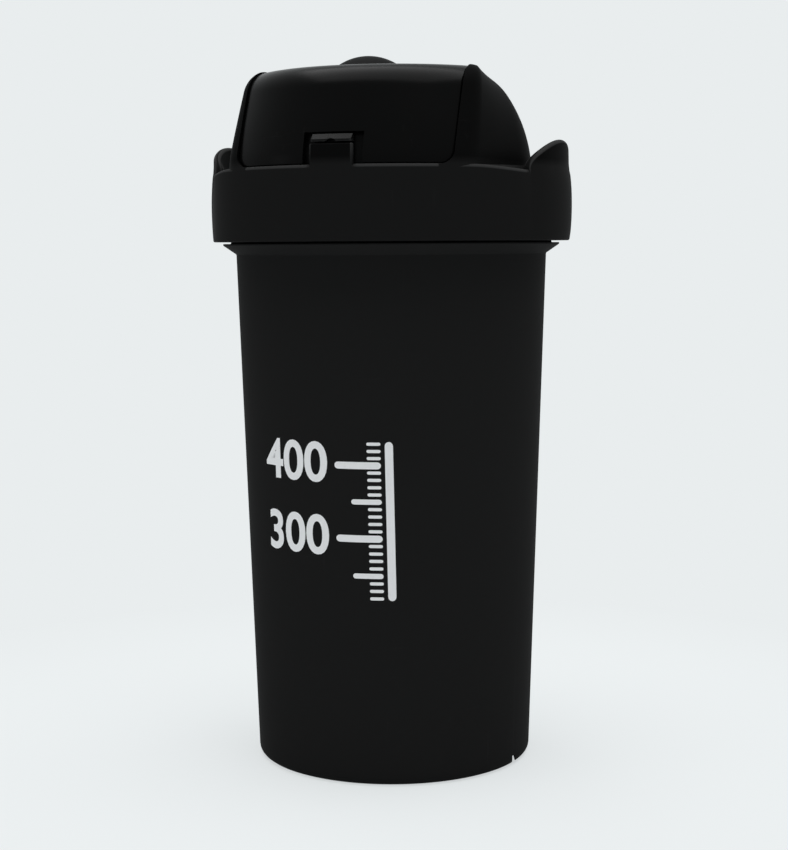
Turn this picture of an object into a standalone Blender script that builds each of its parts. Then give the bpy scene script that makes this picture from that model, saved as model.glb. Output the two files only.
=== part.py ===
"""Protein shaker bottle: tapered cup, screw lid with grip wings, flip cap, soft seals and a mixing strainer.

Metres, +Z up. The bottle stands on Z = 0 with its axis on Z, and the latch of the lid faces -Y.
"""

import math

import bmesh
import bpy
from mathutils import Vector

MM = 0.001

# Clearances
SEAT_GAP = 0.3 * MM
SEAM_GAP = 0.6 * MM
COLLAR_GAP = 1.0 * MM
OVERLAP = 1.0 * MM
WELD = 0.001 * MM
FLUSH_STEP = 0.15 * MM
STRAINER_GAP = 0.9 * MM

# Cup
CUP_BASE_RADIUS = 39.3 * MM
CUP_TOP_RADIUS = 44.1 * MM
CUP_WALL_HEIGHT = 144.1 * MM
CUP_WALL = 1.8 * MM
CUP_FLOOR = 2.2 * MM
BASE_ROUND = 2.4 * MM
CUP_EDGE = 0.4 * MM
FOOT_WIDTH = 4.5 * MM
FOOT_HEIGHT = 2.6 * MM
COLLAR_REACH = 3.7 * MM
COLLAR_HEIGHT = 3.0 * MM
NECK_STEP = 1.5 * MM
NECK_HEIGHT = 14.7 * MM
MOUTH_STEP = 1.4 * MM
MOUTH_DEPTH = 3.5 * MM
DRAIN_WIDTH = 1.0 * MM
DRAIN_HEIGHT = 2.0 * MM
DRAIN_BEARING = math.radians(80.0)

# Lid skirt, deck and wings
THREAD_ROOM = 2.1 * MM
SKIRT_WALL = 2.8 * MM
SKIRT_ROUND = 0.9 * MM
DECK_THICKNESS = 2.4 * MM
RIB_INSET = 1.2 * MM
RIB_WALL = 2.0 * MM
WING_HEIGHT = 8.9 * MM
WING_HALF_SPAN = math.radians(24.0)
WING_WALL = 2.0 * MM
WING_BULGE = 0.8 * MM
WING_LEAN = 2.8 * MM
WING_LEAN_START = 0.7
WING_FULLNESS = 2.4
WING_CREASE = 0.8 * MM
WING_CREASE_SPAN = math.radians(4.0)
WING_CREASE_START = 0.5

# Housing shape shared by the side cheeks and the flip cap
DOME_HEIGHT = 27.4 * MM
DOME_SETBACK = 10.5 * MM
DOME_CENTRE_DROP = 1.6 * MM
FRONT_LEAN = math.radians(17.4)
FRONT_EDGE_ROUND = 6.0 * MM
SIDE_EDGE_ROUND = 3.0 * MM
CHEEK_WIDTH = 4.7 * MM
CORNER_DRAFT = 0.045
CORNER_ROUND = 4.0 * MM

# Flip cap
CAP_FRONT_HALF_WIDTH = 29.9 * MM
CAP_REAR_HALF_WIDTH = 23.8 * MM
CAP_TAPER_START = 32.0 * MM
CAP_RECESS = 0.45 * MM
CAP_WALL = 2.0 * MM
CAP_CORNER_ROUND = 3.0 * MM
CAP_CORNER_DEPTH = 16.0 * MM
POCKET_HALF_WIDTH = 8.2 * MM
POCKET_HEIGHT = 8.8 * MM
POCKET_DEPTH = 1.8 * MM
POCKET_BACKING = 1.9 * MM
POCKET_RIM = 2.0 * MM
LIP_HALF_WIDTH = 5.45 * MM
LIP_HEIGHT = 2.0 * MM
LIP_REACH = 3.0 * MM
LIP_GAP = 0.5 * MM

# Latch tongue on the lid
TONGUE_HALF_WIDTH = 6.2 * MM
TONGUE_HEIGHT = 6.0 * MM
TONGUE_THICKNESS = 1.6 * MM

# Drinking spout and its plug
SPOUT_FORWARD = 19.0 * MM
SPOUT_RADIUS = 12.0 * MM
SPOUT_WALL = 2.0 * MM
SPOUT_HEIGHT = 18.0 * MM
SPOUT_EDGE = 0.6 * MM
PLUG_DEPTH = 3.6 * MM
PLUG_DRAFT = 0.16
PLUG_SHOULDER = 2.0 * MM
PLUG_BODY_RADIUS = 8.0 * MM
PLUG_NECK_RADIUS = 5.0 * MM
PLUG_HEAD_RADIUS = 9.9 * MM
PLUG_HEAD_HEIGHT = 3.5 * MM
PLUG_EDGE = 0.5 * MM

# Hinge
HINGE_SETBACK = 6.1 * MM
HINGE_HEIGHT = 6.2 * MM
PIN_RADIUS = 1.25 * MM
PIN_CHAMFER = 0.3 * MM
KNUCKLE_RADIUS = 3.2 * MM
KNUCKLE_HALF_WIDTH = 10.0 * MM
LUG_WIDTH = 4.0 * MM

# Gasket and strainer
GASKET_WIDTH = 3.4 * MM
GASKET_THICKNESS = 2.2 * MM
GASKET_EDGE = 0.5 * MM
STRAINER_FLANGE = 1.8 * MM
STRAINER_DEPTH = 11.6 * MM
STRAINER_WALL = 1.4 * MM
STRAINER_DRAFT = 0.08
STRAINER_EDGE = 0.4 * MM
GRID_THICKNESS = 1.8 * MM
GRID_HUB_RADIUS = 5.0 * MM
GRID_BAR = 1.6 * MM
GRID_SPOKES = 20
GRID_RINGS = 5
GRID_SPARSE_RINGS = 2

# Facets
ROUND_STEPS = 48
SMALL_STEPS = 24
PIN_STEPS = 16
FILLET_STEPS = 2
PANEL_STEPS = 8
DOME_STEPS = 6
HOUSING_WALL_STEPS = 5
HOUSING_EDGE_STEPS = 4
FRONT_STEPS = 7
CORNER_STEPS = 3
SIDE_STEPS = 2
REAR_STEPS = 8
WING_STEPS = 14
WING_STATIONS = 7
PLAIN_SKIRT_STEPS = 20
SHARP_ANGLE = math.radians(30.0)

# Heights and radii that follow from the sizes above
COLLAR_TOP = CUP_WALL_HEIGHT + COLLAR_HEIGHT
RIM_HEIGHT = COLLAR_TOP + NECK_HEIGHT
LEDGE_HEIGHT = RIM_HEIGHT - MOUTH_DEPTH
THROAT_RADIUS = CUP_TOP_RADIUS - CUP_WALL
MOUTH_RADIUS = THROAT_RADIUS + MOUTH_STEP
NECK_RADIUS = CUP_TOP_RADIUS + NECK_STEP
SKIRT_BOTTOM = COLLAR_TOP + COLLAR_GAP
GASKET_BOTTOM = RIM_HEIGHT + SEAT_GAP
GASKET_TOP = GASKET_BOTTOM + GASKET_THICKNESS
DECK_UNDERSIDE = GASKET_TOP + SEAT_GAP
DECK_TOP = DECK_UNDERSIDE + DECK_THICKNESS
SKIRT_HEIGHT = DECK_TOP - SKIRT_BOTTOM
SKIRT_INNER_RADIUS = NECK_RADIUS + THREAD_ROOM
SKIRT_RADIUS = SKIRT_INNER_RADIUS + SKIRT_WALL
RIB_RADIUS = MOUTH_RADIUS - RIB_INSET
DOME_RADIUS = SKIRT_RADIUS - DOME_SETBACK
CORNER_HALF_WIDTH = CAP_FRONT_HALF_WIDTH + CHEEK_WIDTH
HINGE_BACK = SKIRT_RADIUS - HINGE_SETBACK
DOME_TOP = DECK_TOP + DOME_HEIGHT
CAP_BOTTOM = DECK_TOP + SEAT_GAP
CAP_TOP = DOME_TOP - CAP_RECESS
CAP_REACH = SKIRT_RADIUS + WING_HEIGHT
CAP_CEILING = CAP_TOP - CAP_WALL
CAP_CORNER_X = CAP_FRONT_HALF_WIDTH - CAP_CORNER_ROUND
CAP_CORNER_Z = CAP_BOTTOM + CAP_CORNER_ROUND
HINGE_Z = DECK_TOP + HINGE_HEIGHT
SPOUT_TOP = DECK_TOP + SPOUT_HEIGHT
SPOUT_BORE = SPOUT_RADIUS - SPOUT_WALL
FLANGE_BOTTOM = LEDGE_HEIGHT + SEAT_GAP
FLANGE_TOP = FLANGE_BOTTOM + STRAINER_FLANGE
STRAINER_FLOOR = FLANGE_BOTTOM - STRAINER_DEPTH
STRAINER_RADIUS = THROAT_RADIUS - STRAINER_GAP


def clear_scene():
    for item in list(bpy.data.objects):
        bpy.data.objects.remove(item, do_unlink=True)


def plastic(name, colour, roughness):
    material = bpy.data.materials.new(name)
    material.use_nodes = True
    shader = material.node_tree.nodes["Principled BSDF"]
    shader.inputs["Base Color"].default_value = (*colour, 1.0)
    shader.inputs["Roughness"].default_value = roughness
    shader.inputs["Metallic"].default_value = 0.0
    return material


def metal(name, colour, roughness):
    material = plastic(name, colour, roughness)
    material.node_tree.nodes["Principled BSDF"].inputs["Metallic"].default_value = 1.0
    return material


def make_object(name, mesh_data, material=None, origin=None, parent=None):
    """Turn a bmesh drawn in world coordinates into an object whose origin sits at the given point."""
    origin = origin or Vector((0.0, 0.0, 0.0))
    bmesh.ops.translate(mesh_data, verts=mesh_data.verts, vec=-origin)
    bmesh.ops.recalc_face_normals(mesh_data, faces=mesh_data.faces)
    mesh = bpy.data.meshes.new(name)
    mesh_data.to_mesh(mesh)
    mesh_data.free()
    mesh.shade_smooth()
    mesh.set_sharp_from_angle(angle=SHARP_ANGLE)
    item = bpy.data.objects.new(name, mesh)
    bpy.context.scene.collection.objects.link(item)
    item.location = origin
    if parent:
        item.parent = parent
        item.location = origin - parent.location
    if material:
        mesh.materials.append(material)
    return item


def make_tool(name, mesh_data):
    """A helper solid for cutting or joining, left out of the finished object."""
    tool = make_object(name, mesh_data)
    tool.hide_render = True
    tool.display_type = "WIRE"
    return tool


def combine(target, tool, operation, solver="EXACT"):
    step = target.modifiers.new(f"{operation.lower()} {tool.name}", "BOOLEAN")
    step.operation = operation
    step.solver = solver
    step.object = tool


def make_axis(name, point):
    empty = bpy.data.objects.new(name, None)
    empty.location = point
    bpy.context.scene.collection.objects.link(empty)
    return empty


def rounded_profile(corners):
    """Points of a closed outline; each corner is (radius, height, fillet) and a fillet of 0 stays sharp."""
    points = []
    count = len(corners)
    for index, (radius, height, fillet) in enumerate(corners):
        here = Vector((radius, height))
        if fillet == 0.0:
            points.append(here)
            continue
        before = (Vector(corners[index - 1][:2]) - here).normalized()
        after = (Vector(corners[(index + 1) % count][:2]) - here).normalized()
        half_angle = before.angle(after) / 2.0
        centre = here + (before + after).normalized() * (fillet / math.sin(half_angle))
        start = here + before * (fillet / math.tan(half_angle)) - centre
        finish = here + after * (fillet / math.tan(half_angle)) - centre
        first = math.atan2(start.y, start.x)
        sweep = math.remainder(math.atan2(finish.y, finish.x) - first, 2.0 * math.pi)
        for step in range(FILLET_STEPS + 1):
            turn = first + sweep * step / FILLET_STEPS
            points.append(centre + Vector((math.cos(turn), math.sin(turn))) * fillet)
    return points


def merge_doubles(mesh_data):
    """Weld points that coincide and drop what collapses to nothing there."""
    bmesh.ops.remove_doubles(mesh_data, verts=mesh_data.verts, dist=WELD)
    bmesh.ops.dissolve_degenerate(mesh_data, edges=mesh_data.edges, dist=WELD)
    loose = [edge for edge in mesh_data.edges if not edge.link_faces]
    bmesh.ops.delete(mesh_data, geom=loose, context="EDGES")


def turned(profile, steps, centre=(0.0, 0.0)):
    """A solid of revolution about a vertical axis through centre."""
    mesh_data = bmesh.new()
    verts = [mesh_data.verts.new((point.x, 0.0, point.y)) for point in profile]
    edges = [mesh_data.edges.new((verts[i - 1], verts[i])) for i in range(len(verts))]
    bmesh.ops.spin(mesh_data, geom=verts + edges, cent=(0.0, 0.0, 0.0), axis=(0.0, 0.0, 1.0),
                   angle=2.0 * math.pi, steps=steps, use_merge=True)
    merge_doubles(mesh_data)
    bmesh.ops.translate(mesh_data, verts=mesh_data.verts, vec=(centre[0], centre[1], 0.0))
    return mesh_data


def skinned(loops, closed=False):
    """Bridge loops of equal length; an open run gets a cap at each end, a closed one meets its own start."""
    mesh_data = bmesh.new()
    rings = [[mesh_data.verts.new(point) for point in loop] for loop in loops]
    size = len(rings[0])
    last = len(rings) if closed else len(rings) - 1
    for level in range(last):
        lower = rings[level]
        upper = rings[(level + 1) % len(rings)]
        for i in range(size):
            mesh_data.faces.new((lower[i - 1], lower[i], upper[i], upper[i - 1]))
    if not closed:
        mesh_data.faces.new(list(reversed(rings[0])))
        mesh_data.faces.new(rings[-1])
    merge_doubles(mesh_data)
    bmesh.ops.triangulate(mesh_data, faces=mesh_data.faces)
    return mesh_data


def plate_along_x(outline, left, right):
    """Extrude a closed (y, z) outline between two x positions."""
    loops = [[Vector((x, y, z)) for y, z in outline] for x in (left, right)]
    return skinned(loops)


def bar_along_y(outline, front, back):
    """Extrude a closed (x, z) outline between two y positions."""
    loops = [[Vector((x, y, z)) for x, z in outline] for y in (front, back)]
    return skinned(loops)


def prism(outline, bottom, top):
    """Extrude a closed (x, y) outline between two heights."""
    loops = [[Vector((x, y, z)) for x, y in outline] for z in (bottom, top)]
    return skinned(loops)


def arc_panel(half_width, bottom, top, outer_radius, inner_radius):
    """A block at the front of the lid that follows its round plan; the radii are functions of height."""
    loops = []
    for z in (bottom, top):
        outer = outer_radius(z)
        inner = inner_radius(z)
        xs = [half_width * (2.0 * i / PANEL_STEPS - 1.0) for i in range(PANEL_STEPS + 1)]
        front = [Vector((x, -math.sqrt(outer * outer - x * x), z)) for x in xs]
        back = [Vector((x, -math.sqrt(inner * inner - x * x), z)) for x in reversed(xs)]
        loops.append(front + back)
    return skinned(loops)


# Housing shape

def front_radius(z):
    return SKIRT_RADIUS - FLUSH_STEP - (z - DECK_TOP) * math.tan(FRONT_LEAN)


def housing_levels():
    """Heights of the housing's outlines, each with how far its top edge has rounded over (0 to 1)."""
    start = DOME_TOP - FRONT_EDGE_ROUND
    wall = start - DECK_TOP
    levels = [(DECK_TOP + wall * i / HOUSING_WALL_STEPS, 0.0) for i in range(HOUSING_WALL_STEPS)]
    for i in range(HOUSING_EDGE_STEPS + 1):
        turn = math.pi / 2.0 * i / HOUSING_EDGE_STEPS
        levels.append((start + FRONT_EDGE_ROUND * math.sin(turn), 1.0 - math.cos(turn)))
    return levels


def housing_outline(z, rounding, inset):
    """Plan of the housing: a front arc, rounded front corners, straight sides and a round back."""
    front = front_radius(z) - FRONT_EDGE_ROUND * rounding - inset
    dome_rise = z - DECK_TOP + DOME_CENTRE_DROP
    dome = math.sqrt(DOME_RADIUS ** 2 - dome_rise ** 2) - SIDE_EDGE_ROUND * rounding - inset
    corner = CORNER_HALF_WIDTH - (z - DECK_TOP) * CORNER_DRAFT - SIDE_EDGE_ROUND * rounding - inset
    corner_bearing = math.asin(corner / front)
    tangent_bearing = corner_bearing + math.acos(dome / front)

    def at(radius, bearing):
        return Vector((radius * math.sin(bearing), -radius * math.cos(bearing)))

    tip = at(front, corner_bearing)
    side_end = at(dome, tangent_bearing)
    arc_end_bearing = corner_bearing - CORNER_ROUND / front
    side_start = tip + (side_end - tip).normalized() * CORNER_ROUND
    arc_end = at(front, arc_end_bearing)
    half = [at(front, arc_end_bearing * i / FRONT_STEPS) for i in range(FRONT_STEPS)]
    for i in range(CORNER_STEPS):
        t = i / CORNER_STEPS
        half.append(arc_end * (1 - t) ** 2 + tip * 2 * t * (1 - t) + side_start * t ** 2)
    half += [side_start.lerp(side_end, i / SIDE_STEPS) for i in range(SIDE_STEPS)]
    for i in range(REAR_STEPS + 1):
        half.append(at(dome, tangent_bearing + (math.pi - tangent_bearing) * i / REAR_STEPS))
    mirrored = [Vector((-point.x, point.y)) for point in reversed(half[1:-1])]
    return half + mirrored


def housing_solid(inset, drop, bottom):
    """The housing's form, set in from its sides and lowered from its top, standing on the given height."""
    loops = []
    for z, rounding in housing_levels():
        outline = housing_outline(z, rounding, inset)
        height = bottom if not loops else z - drop
        loops.append([Vector((point.x, point.y, height)) for point in outline])
    return skinned(loops)


def strip_edge(margin):
    """One long edge of the strip that the flip cap takes between the cheeks, from front to back."""
    front = CAP_FRONT_HALF_WIDTH - margin
    rear = CAP_REAR_HALF_WIDTH - margin
    return [(front, -CAP_REACH), (front, -CAP_TAPER_START), (rear, CAP_REACH)]


def cap_strip(margin):
    """Plan of the strip that the flip cap takes, narrowed by a margin on each side."""
    right = strip_edge(margin)
    return right + [(-x, y) for x, y in reversed(right)]


def beside_strip(gap, sign):
    """Plan of everything to one side of the strip, a gap away from it."""
    edge = strip_edge(-gap) + [(CAP_REACH, CAP_REACH), (CAP_REACH, -CAP_REACH)]
    return [(sign * x, y) for x, y in edge]


def corner_arc(sign, gap):
    """Quarter round of the cap's lower front corner, a gap away from it, from below up to the side."""
    radius = CAP_CORNER_ROUND + gap
    turns = [math.pi / 2.0 * (i / CORNER_STEPS - 1.0) for i in range(CORNER_STEPS + 1)]
    return [(sign * (CAP_CORNER_X + radius * math.cos(turn)), CAP_CORNER_Z + radius * math.sin(turn))
            for turn in turns]


def outside_corner(sign, gap, bottom):
    """Bar along the cap's lower front corner that fills the space outside its quarter round."""
    side = sign * (CAP_FRONT_HALF_WIDTH + SEAM_GAP + OVERLAP)
    outline = corner_arc(sign, gap) + [(side, CAP_CORNER_Z), (side, bottom), (sign * CAP_CORNER_X, bottom)]
    return bar_along_y(outline, -CAP_REACH, CAP_CORNER_DEPTH - SKIRT_RADIUS)


def build_cup(material):
    slope = (CUP_TOP_RADIUS - CUP_BASE_RADIUS) / CUP_WALL_HEIGHT
    floor_top = FOOT_HEIGHT + CUP_FLOOR
    floor_radius = CUP_BASE_RADIUS + slope * floor_top - CUP_WALL
    foot_inner = CUP_BASE_RADIUS - BASE_ROUND - FOOT_WIDTH
    collar_radius = CUP_TOP_RADIUS + COLLAR_REACH
    profile = rounded_profile([
        (0.0, FOOT_HEIGHT, 0.0),
        (foot_inner - FOOT_HEIGHT / 2.0, FOOT_HEIGHT, CUP_EDGE),
        (foot_inner, 0.0, CUP_EDGE),
        (CUP_BASE_RADIUS, 0.0, BASE_ROUND),
        (CUP_TOP_RADIUS, CUP_WALL_HEIGHT, CUP_EDGE),
        (collar_radius, COLLAR_TOP - CUP_EDGE, 0.0),
        (collar_radius, COLLAR_TOP, 0.0),
        (NECK_RADIUS, COLLAR_TOP, 0.0),
        (NECK_RADIUS, RIM_HEIGHT, CUP_EDGE),
        (MOUTH_RADIUS, RIM_HEIGHT, CUP_EDGE),
        (MOUTH_RADIUS, LEDGE_HEIGHT, 0.0),
        (THROAT_RADIUS, LEDGE_HEIGHT, 0.0),
        (THROAT_RADIUS, CUP_WALL_HEIGHT, 0.0),
        (floor_radius, floor_top, BASE_ROUND),
        (0.0, floor_top, 0.0),
    ])
    cup = make_object("cup", turned(profile, ROUND_STEPS), material)
    reach = CUP_BASE_RADIUS + BASE_ROUND
    along = Vector((math.sin(DRAIN_BEARING), -math.cos(DRAIN_BEARING)))
    across = Vector((-along.y, along.x)) * DRAIN_WIDTH / 2.0
    slot = [along * reach + across, -along * reach + across, -along * reach - across, along * reach - across]
    drains = make_tool("drain_slots", prism(slot, -OVERLAP, DRAIN_HEIGHT))
    combine(cup, drains, "DIFFERENCE")
    return cup


def wing_share(bearing):
    """How far a bearing lies inside a wing: 0 at its ends, 1 at its middle."""
    offset = abs(abs(bearing) - math.pi / 2.0) / WING_HALF_SPAN
    if offset >= 1.0:
        return 0.0
    return (1.0 - offset ** WING_FULLNESS) ** (1.0 / WING_FULLNESS)


def skirt_bearings():
    """Bearings of the lid's facets, closer together towards the ends of the wings."""
    plain = math.pi - 2.0 * WING_HALF_SPAN
    bearings = []
    for side in (math.pi / 2.0, -math.pi / 2.0):
        start = side - WING_HALF_SPAN
        for i in range(WING_STEPS):
            bearings.append(start + WING_HALF_SPAN * (1.0 - math.cos(math.pi * i / WING_STEPS)))
        finish = side + WING_HALF_SPAN
        bearings += [finish + plain * i / PLAIN_SKIRT_STEPS for i in range(PLAIN_SKIRT_STEPS)]
    return [math.remainder(bearing, 2.0 * math.pi) for bearing in bearings]


def skirt_section(bearing):
    """Half section of the lid moulding at one bearing: skirt, wing and deck, without the housing."""
    share = wing_share(bearing)
    away = (abs(abs(bearing) - math.pi / 2.0) - WING_HALF_SPAN) / WING_CREASE_SPAN
    crease = WING_CREASE * math.exp(-away * away)
    wing_top = DECK_TOP + WING_HEIGHT * share
    outer = []
    for i in range(WING_STATIONS + 1):
        rise = i / WING_STATIONS
        z = SKIRT_BOTTOM + SKIRT_ROUND + (wing_top - SKIRT_BOTTOM - SKIRT_ROUND) * rise
        up = (z - SKIRT_BOTTOM) / SKIRT_HEIGHT
        bulge = WING_BULGE * share * math.sin(math.pi * min(up, 1.0))
        lean = WING_LEAN * share * max(up - WING_LEAN_START, 0.0) ** 2
        fade = max(min((up - WING_CREASE_START) / (1.0 - WING_CREASE_START), 1.0), 0.0)
        outer.append((SKIRT_RADIUS + bulge - lean - crease * fade, z))
    top_radius = outer[-1][0]
    inner_wing = top_radius - WING_WALL
    section = [(SKIRT_INNER_RADIUS, SKIRT_BOTTOM), (SKIRT_RADIUS - SKIRT_ROUND, SKIRT_BOTTOM)]
    section += outer
    section += [(inner_wing, wing_top), (SKIRT_RADIUS - WING_CREASE - WING_WALL, DECK_TOP), (0.0, DECK_TOP)]
    section += [(0.0, DECK_UNDERSIDE), (RIB_RADIUS - RIB_WALL, DECK_UNDERSIDE)]
    section += [(RIB_RADIUS - RIB_WALL, FLANGE_TOP + SEAT_GAP), (RIB_RADIUS, FLANGE_TOP + SEAT_GAP)]
    section += [(RIB_RADIUS, DECK_UNDERSIDE), (SKIRT_INNER_RADIUS, DECK_UNDERSIDE)]
    return [Vector((r * math.sin(bearing), -r * math.cos(bearing), z)) for r, z in section]


def lug_outline():
    """Side view of a hinge lug: round over the pin, standing on the deck."""
    foot = DECK_TOP - OVERLAP
    outline = [(HINGE_BACK - KNUCKLE_RADIUS, foot), (HINGE_BACK + KNUCKLE_RADIUS, foot)]
    return outline + half_round(0.0)


def knuckle_outline():
    """Side view of the cap's knuckle: round behind the pin, running forward into the cap's back wall."""
    rise = HINGE_HEIGHT + DOME_CENTRE_DROP + KNUCKLE_RADIUS
    wall = math.sqrt(DOME_RADIUS ** 2 - rise ** 2) - CAP_RECESS - CAP_WALL / 2.0
    outline = [(wall, HINGE_Z + KNUCKLE_RADIUS), (wall, HINGE_Z - KNUCKLE_RADIUS)]
    return outline + half_round(-math.pi / 2.0)


def half_round(start):
    """Half a circle of the knuckle's radius round the pin, as (y, z) points."""
    steps = PIN_STEPS // 2
    turns = [start + math.pi * i / steps for i in range(steps + 1)]
    return [(HINGE_BACK + KNUCKLE_RADIUS * math.cos(t),
             HINGE_Z + KNUCKLE_RADIUS * math.sin(t)) for t in turns]


def pin_hole():
    reach = KNUCKLE_HALF_WIDTH + LUG_WIDTH + OVERLAP
    return pin_cylinder(PIN_RADIUS + SEAT_GAP, reach, 0.0)


def pin_cylinder(radius, half_length, chamfer):
    """A cylinder along the hinge axis with chamfered ends."""
    loops = []
    stations = [(-half_length, radius - chamfer), (half_length, radius - chamfer)]
    if chamfer:
        stations = [(-half_length, radius - chamfer), (-half_length + chamfer, radius),
                    (half_length - chamfer, radius), (half_length, radius - chamfer)]
    for x, ring in stations:
        turns = [2.0 * math.pi * i / PIN_STEPS for i in range(PIN_STEPS)]
        loops.append([Vector((x, HINGE_BACK + ring * math.cos(t),
                              HINGE_Z + ring * math.sin(t))) for t in turns])
    return skinned(loops)


def build_lid_body(material, lid_axis):
    loops = [skirt_section(bearing) for bearing in skirt_bearings()]
    lid = make_object("lid_body", skinned(loops, closed=True), material, lid_axis.location, lid_axis)

    for side, sign in (("right", 1.0), ("left", -1.0)):
        cheek = make_tool(f"cheek_{side}", housing_solid(0.0, 0.0, DECK_TOP - OVERLAP))
        beside = prism(beside_strip(SEAM_GAP, sign), SKIRT_BOTTOM, DOME_TOP + OVERLAP)
        limit = make_tool(f"cheek_limit_{side}", beside)
        corner = outside_corner(sign, SEAM_GAP, DECK_TOP - CAP_CORNER_ROUND)
        combine(limit, make_tool(f"cheek_corner_{side}", corner), "UNION")
        combine(cheek, limit, "INTERSECT")
        combine(lid, cheek, "UNION")

    spout = rounded_profile([
        (0.0, DECK_TOP - OVERLAP, 0.0), (SPOUT_RADIUS, DECK_TOP - OVERLAP, 0.0),
        (SPOUT_RADIUS, SPOUT_TOP, SPOUT_EDGE), (0.0, SPOUT_TOP, 0.0)])
    spout_place = (0.0, -SPOUT_FORWARD)
    combine(lid, make_tool("spout", turned(spout, SMALL_STEPS, spout_place)), "UNION")
    bore = rounded_profile([
        (0.0, SKIRT_BOTTOM, 0.0), (SPOUT_BORE, SKIRT_BOTTOM, 0.0),
        (SPOUT_BORE, SPOUT_TOP + OVERLAP, 0.0), (0.0, SPOUT_TOP + OVERLAP, 0.0)])
    combine(lid, make_tool("spout_bore", turned(bore, SMALL_STEPS, spout_place)), "DIFFERENCE")

    tongue = arc_panel(TONGUE_HALF_WIDTH, DECK_TOP - OVERLAP, DECK_TOP + TONGUE_HEIGHT,
                       lambda z: SKIRT_RADIUS - FLUSH_STEP, lambda z: SKIRT_RADIUS - TONGUE_THICKNESS)
    combine(lid, make_tool("latch_tongue", tongue), "UNION")

    inner = KNUCKLE_HALF_WIDTH + SEAT_GAP
    for side, left in (("right", inner), ("left", -inner - LUG_WIDTH)):
        lug = plate_along_x(lug_outline(), left, left + LUG_WIDTH)
        combine(lid, make_tool(f"hinge_lug_{side}", lug), "UNION", solver="MANIFOLD")
    combine(lid, make_tool("lug_hole", pin_hole()), "DIFFERENCE")
    return lid


def build_flip_cap(material, flip_axis):
    cap = make_object("flip_cap", housing_solid(CAP_RECESS, CAP_RECESS, CAP_BOTTOM), material,
                      flip_axis.location, flip_axis)
    top = DOME_TOP + OVERLAP
    combine(cap, make_tool("cap_sides", prism(cap_strip(0.0), SKIRT_BOTTOM, top)), "INTERSECT")
    inset = CAP_RECESS + CAP_WALL
    hollow = make_tool("cap_hollow", housing_solid(inset, inset, SKIRT_BOTTOM))
    hollow_sides = prism(cap_strip(CAP_WALL), SKIRT_BOTTOM - CAP_WALL, top)
    combine(hollow, make_tool("hollow_sides", hollow_sides), "INTERSECT")
    combine(cap, hollow, "DIFFERENCE")

    for side, sign in (("right", 1.0), ("left", -1.0)):
        corner = outside_corner(sign, 0.0, CAP_BOTTOM - OVERLAP)
        combine(cap, make_tool(f"cap_corner_{side}", corner), "DIFFERENCE")

    backing = arc_panel(POCKET_HALF_WIDTH + POCKET_RIM, CAP_BOTTOM, DECK_TOP + POCKET_HEIGHT + POCKET_RIM,
                        lambda z: front_radius(z) - CAP_RECESS - POCKET_DEPTH / 2.0,
                        lambda z: front_radius(z) - CAP_RECESS - POCKET_DEPTH - POCKET_BACKING)
    combine(cap, make_tool("pocket_backing", backing), "UNION")
    pocket = arc_panel(POCKET_HALF_WIDTH, SKIRT_BOTTOM, DECK_TOP + POCKET_HEIGHT,
                       lambda z: SKIRT_RADIUS + SKIRT_WALL + SKIRT_HEIGHT,
                       lambda z: front_radius(max(z, DECK_TOP)) - CAP_RECESS - POCKET_DEPTH)
    combine(cap, make_tool("thumb_pocket", pocket), "DIFFERENCE")
    lip_bottom = DECK_TOP + TONGUE_HEIGHT + LIP_GAP
    pocket_floor = front_radius(lip_bottom) - CAP_RECESS - POCKET_DEPTH
    lip = arc_panel(LIP_HALF_WIDTH, lip_bottom, lip_bottom + LIP_HEIGHT,
                    lambda z: pocket_floor + LIP_REACH, lambda z: pocket_floor - POCKET_BACKING / 2.0)
    combine(cap, make_tool("latch_lip", lip), "UNION")

    knuckle = plate_along_x(knuckle_outline(), -KNUCKLE_HALF_WIDTH, KNUCKLE_HALF_WIDTH)
    combine(cap, make_tool("cap_knuckle", knuckle), "UNION")
    combine(cap, make_tool("knuckle_hole", pin_hole()), "DIFFERENCE")
    hole_radius = PLUG_NECK_RADIUS + SEAT_GAP
    hole = rounded_profile([
        (0.0, CAP_CEILING - OVERLAP, 0.0), (hole_radius, CAP_CEILING - OVERLAP, 0.0),
        (hole_radius, top, 0.0), (0.0, top, 0.0)])
    combine(cap, make_tool("plug_hole", turned(hole, SMALL_STEPS, (0.0, -SPOUT_FORWARD))), "DIFFERENCE")
    return cap


def build_hinge_pin(material, lid_axis):
    length = KNUCKLE_HALF_WIDTH + SEAT_GAP + LUG_WIDTH
    place = Vector((0.0, HINGE_BACK, HINGE_Z))
    pin = pin_cylinder(PIN_RADIUS, length, PIN_CHAMFER)
    return make_object("hinge_pin", pin, material, place, lid_axis)


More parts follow.
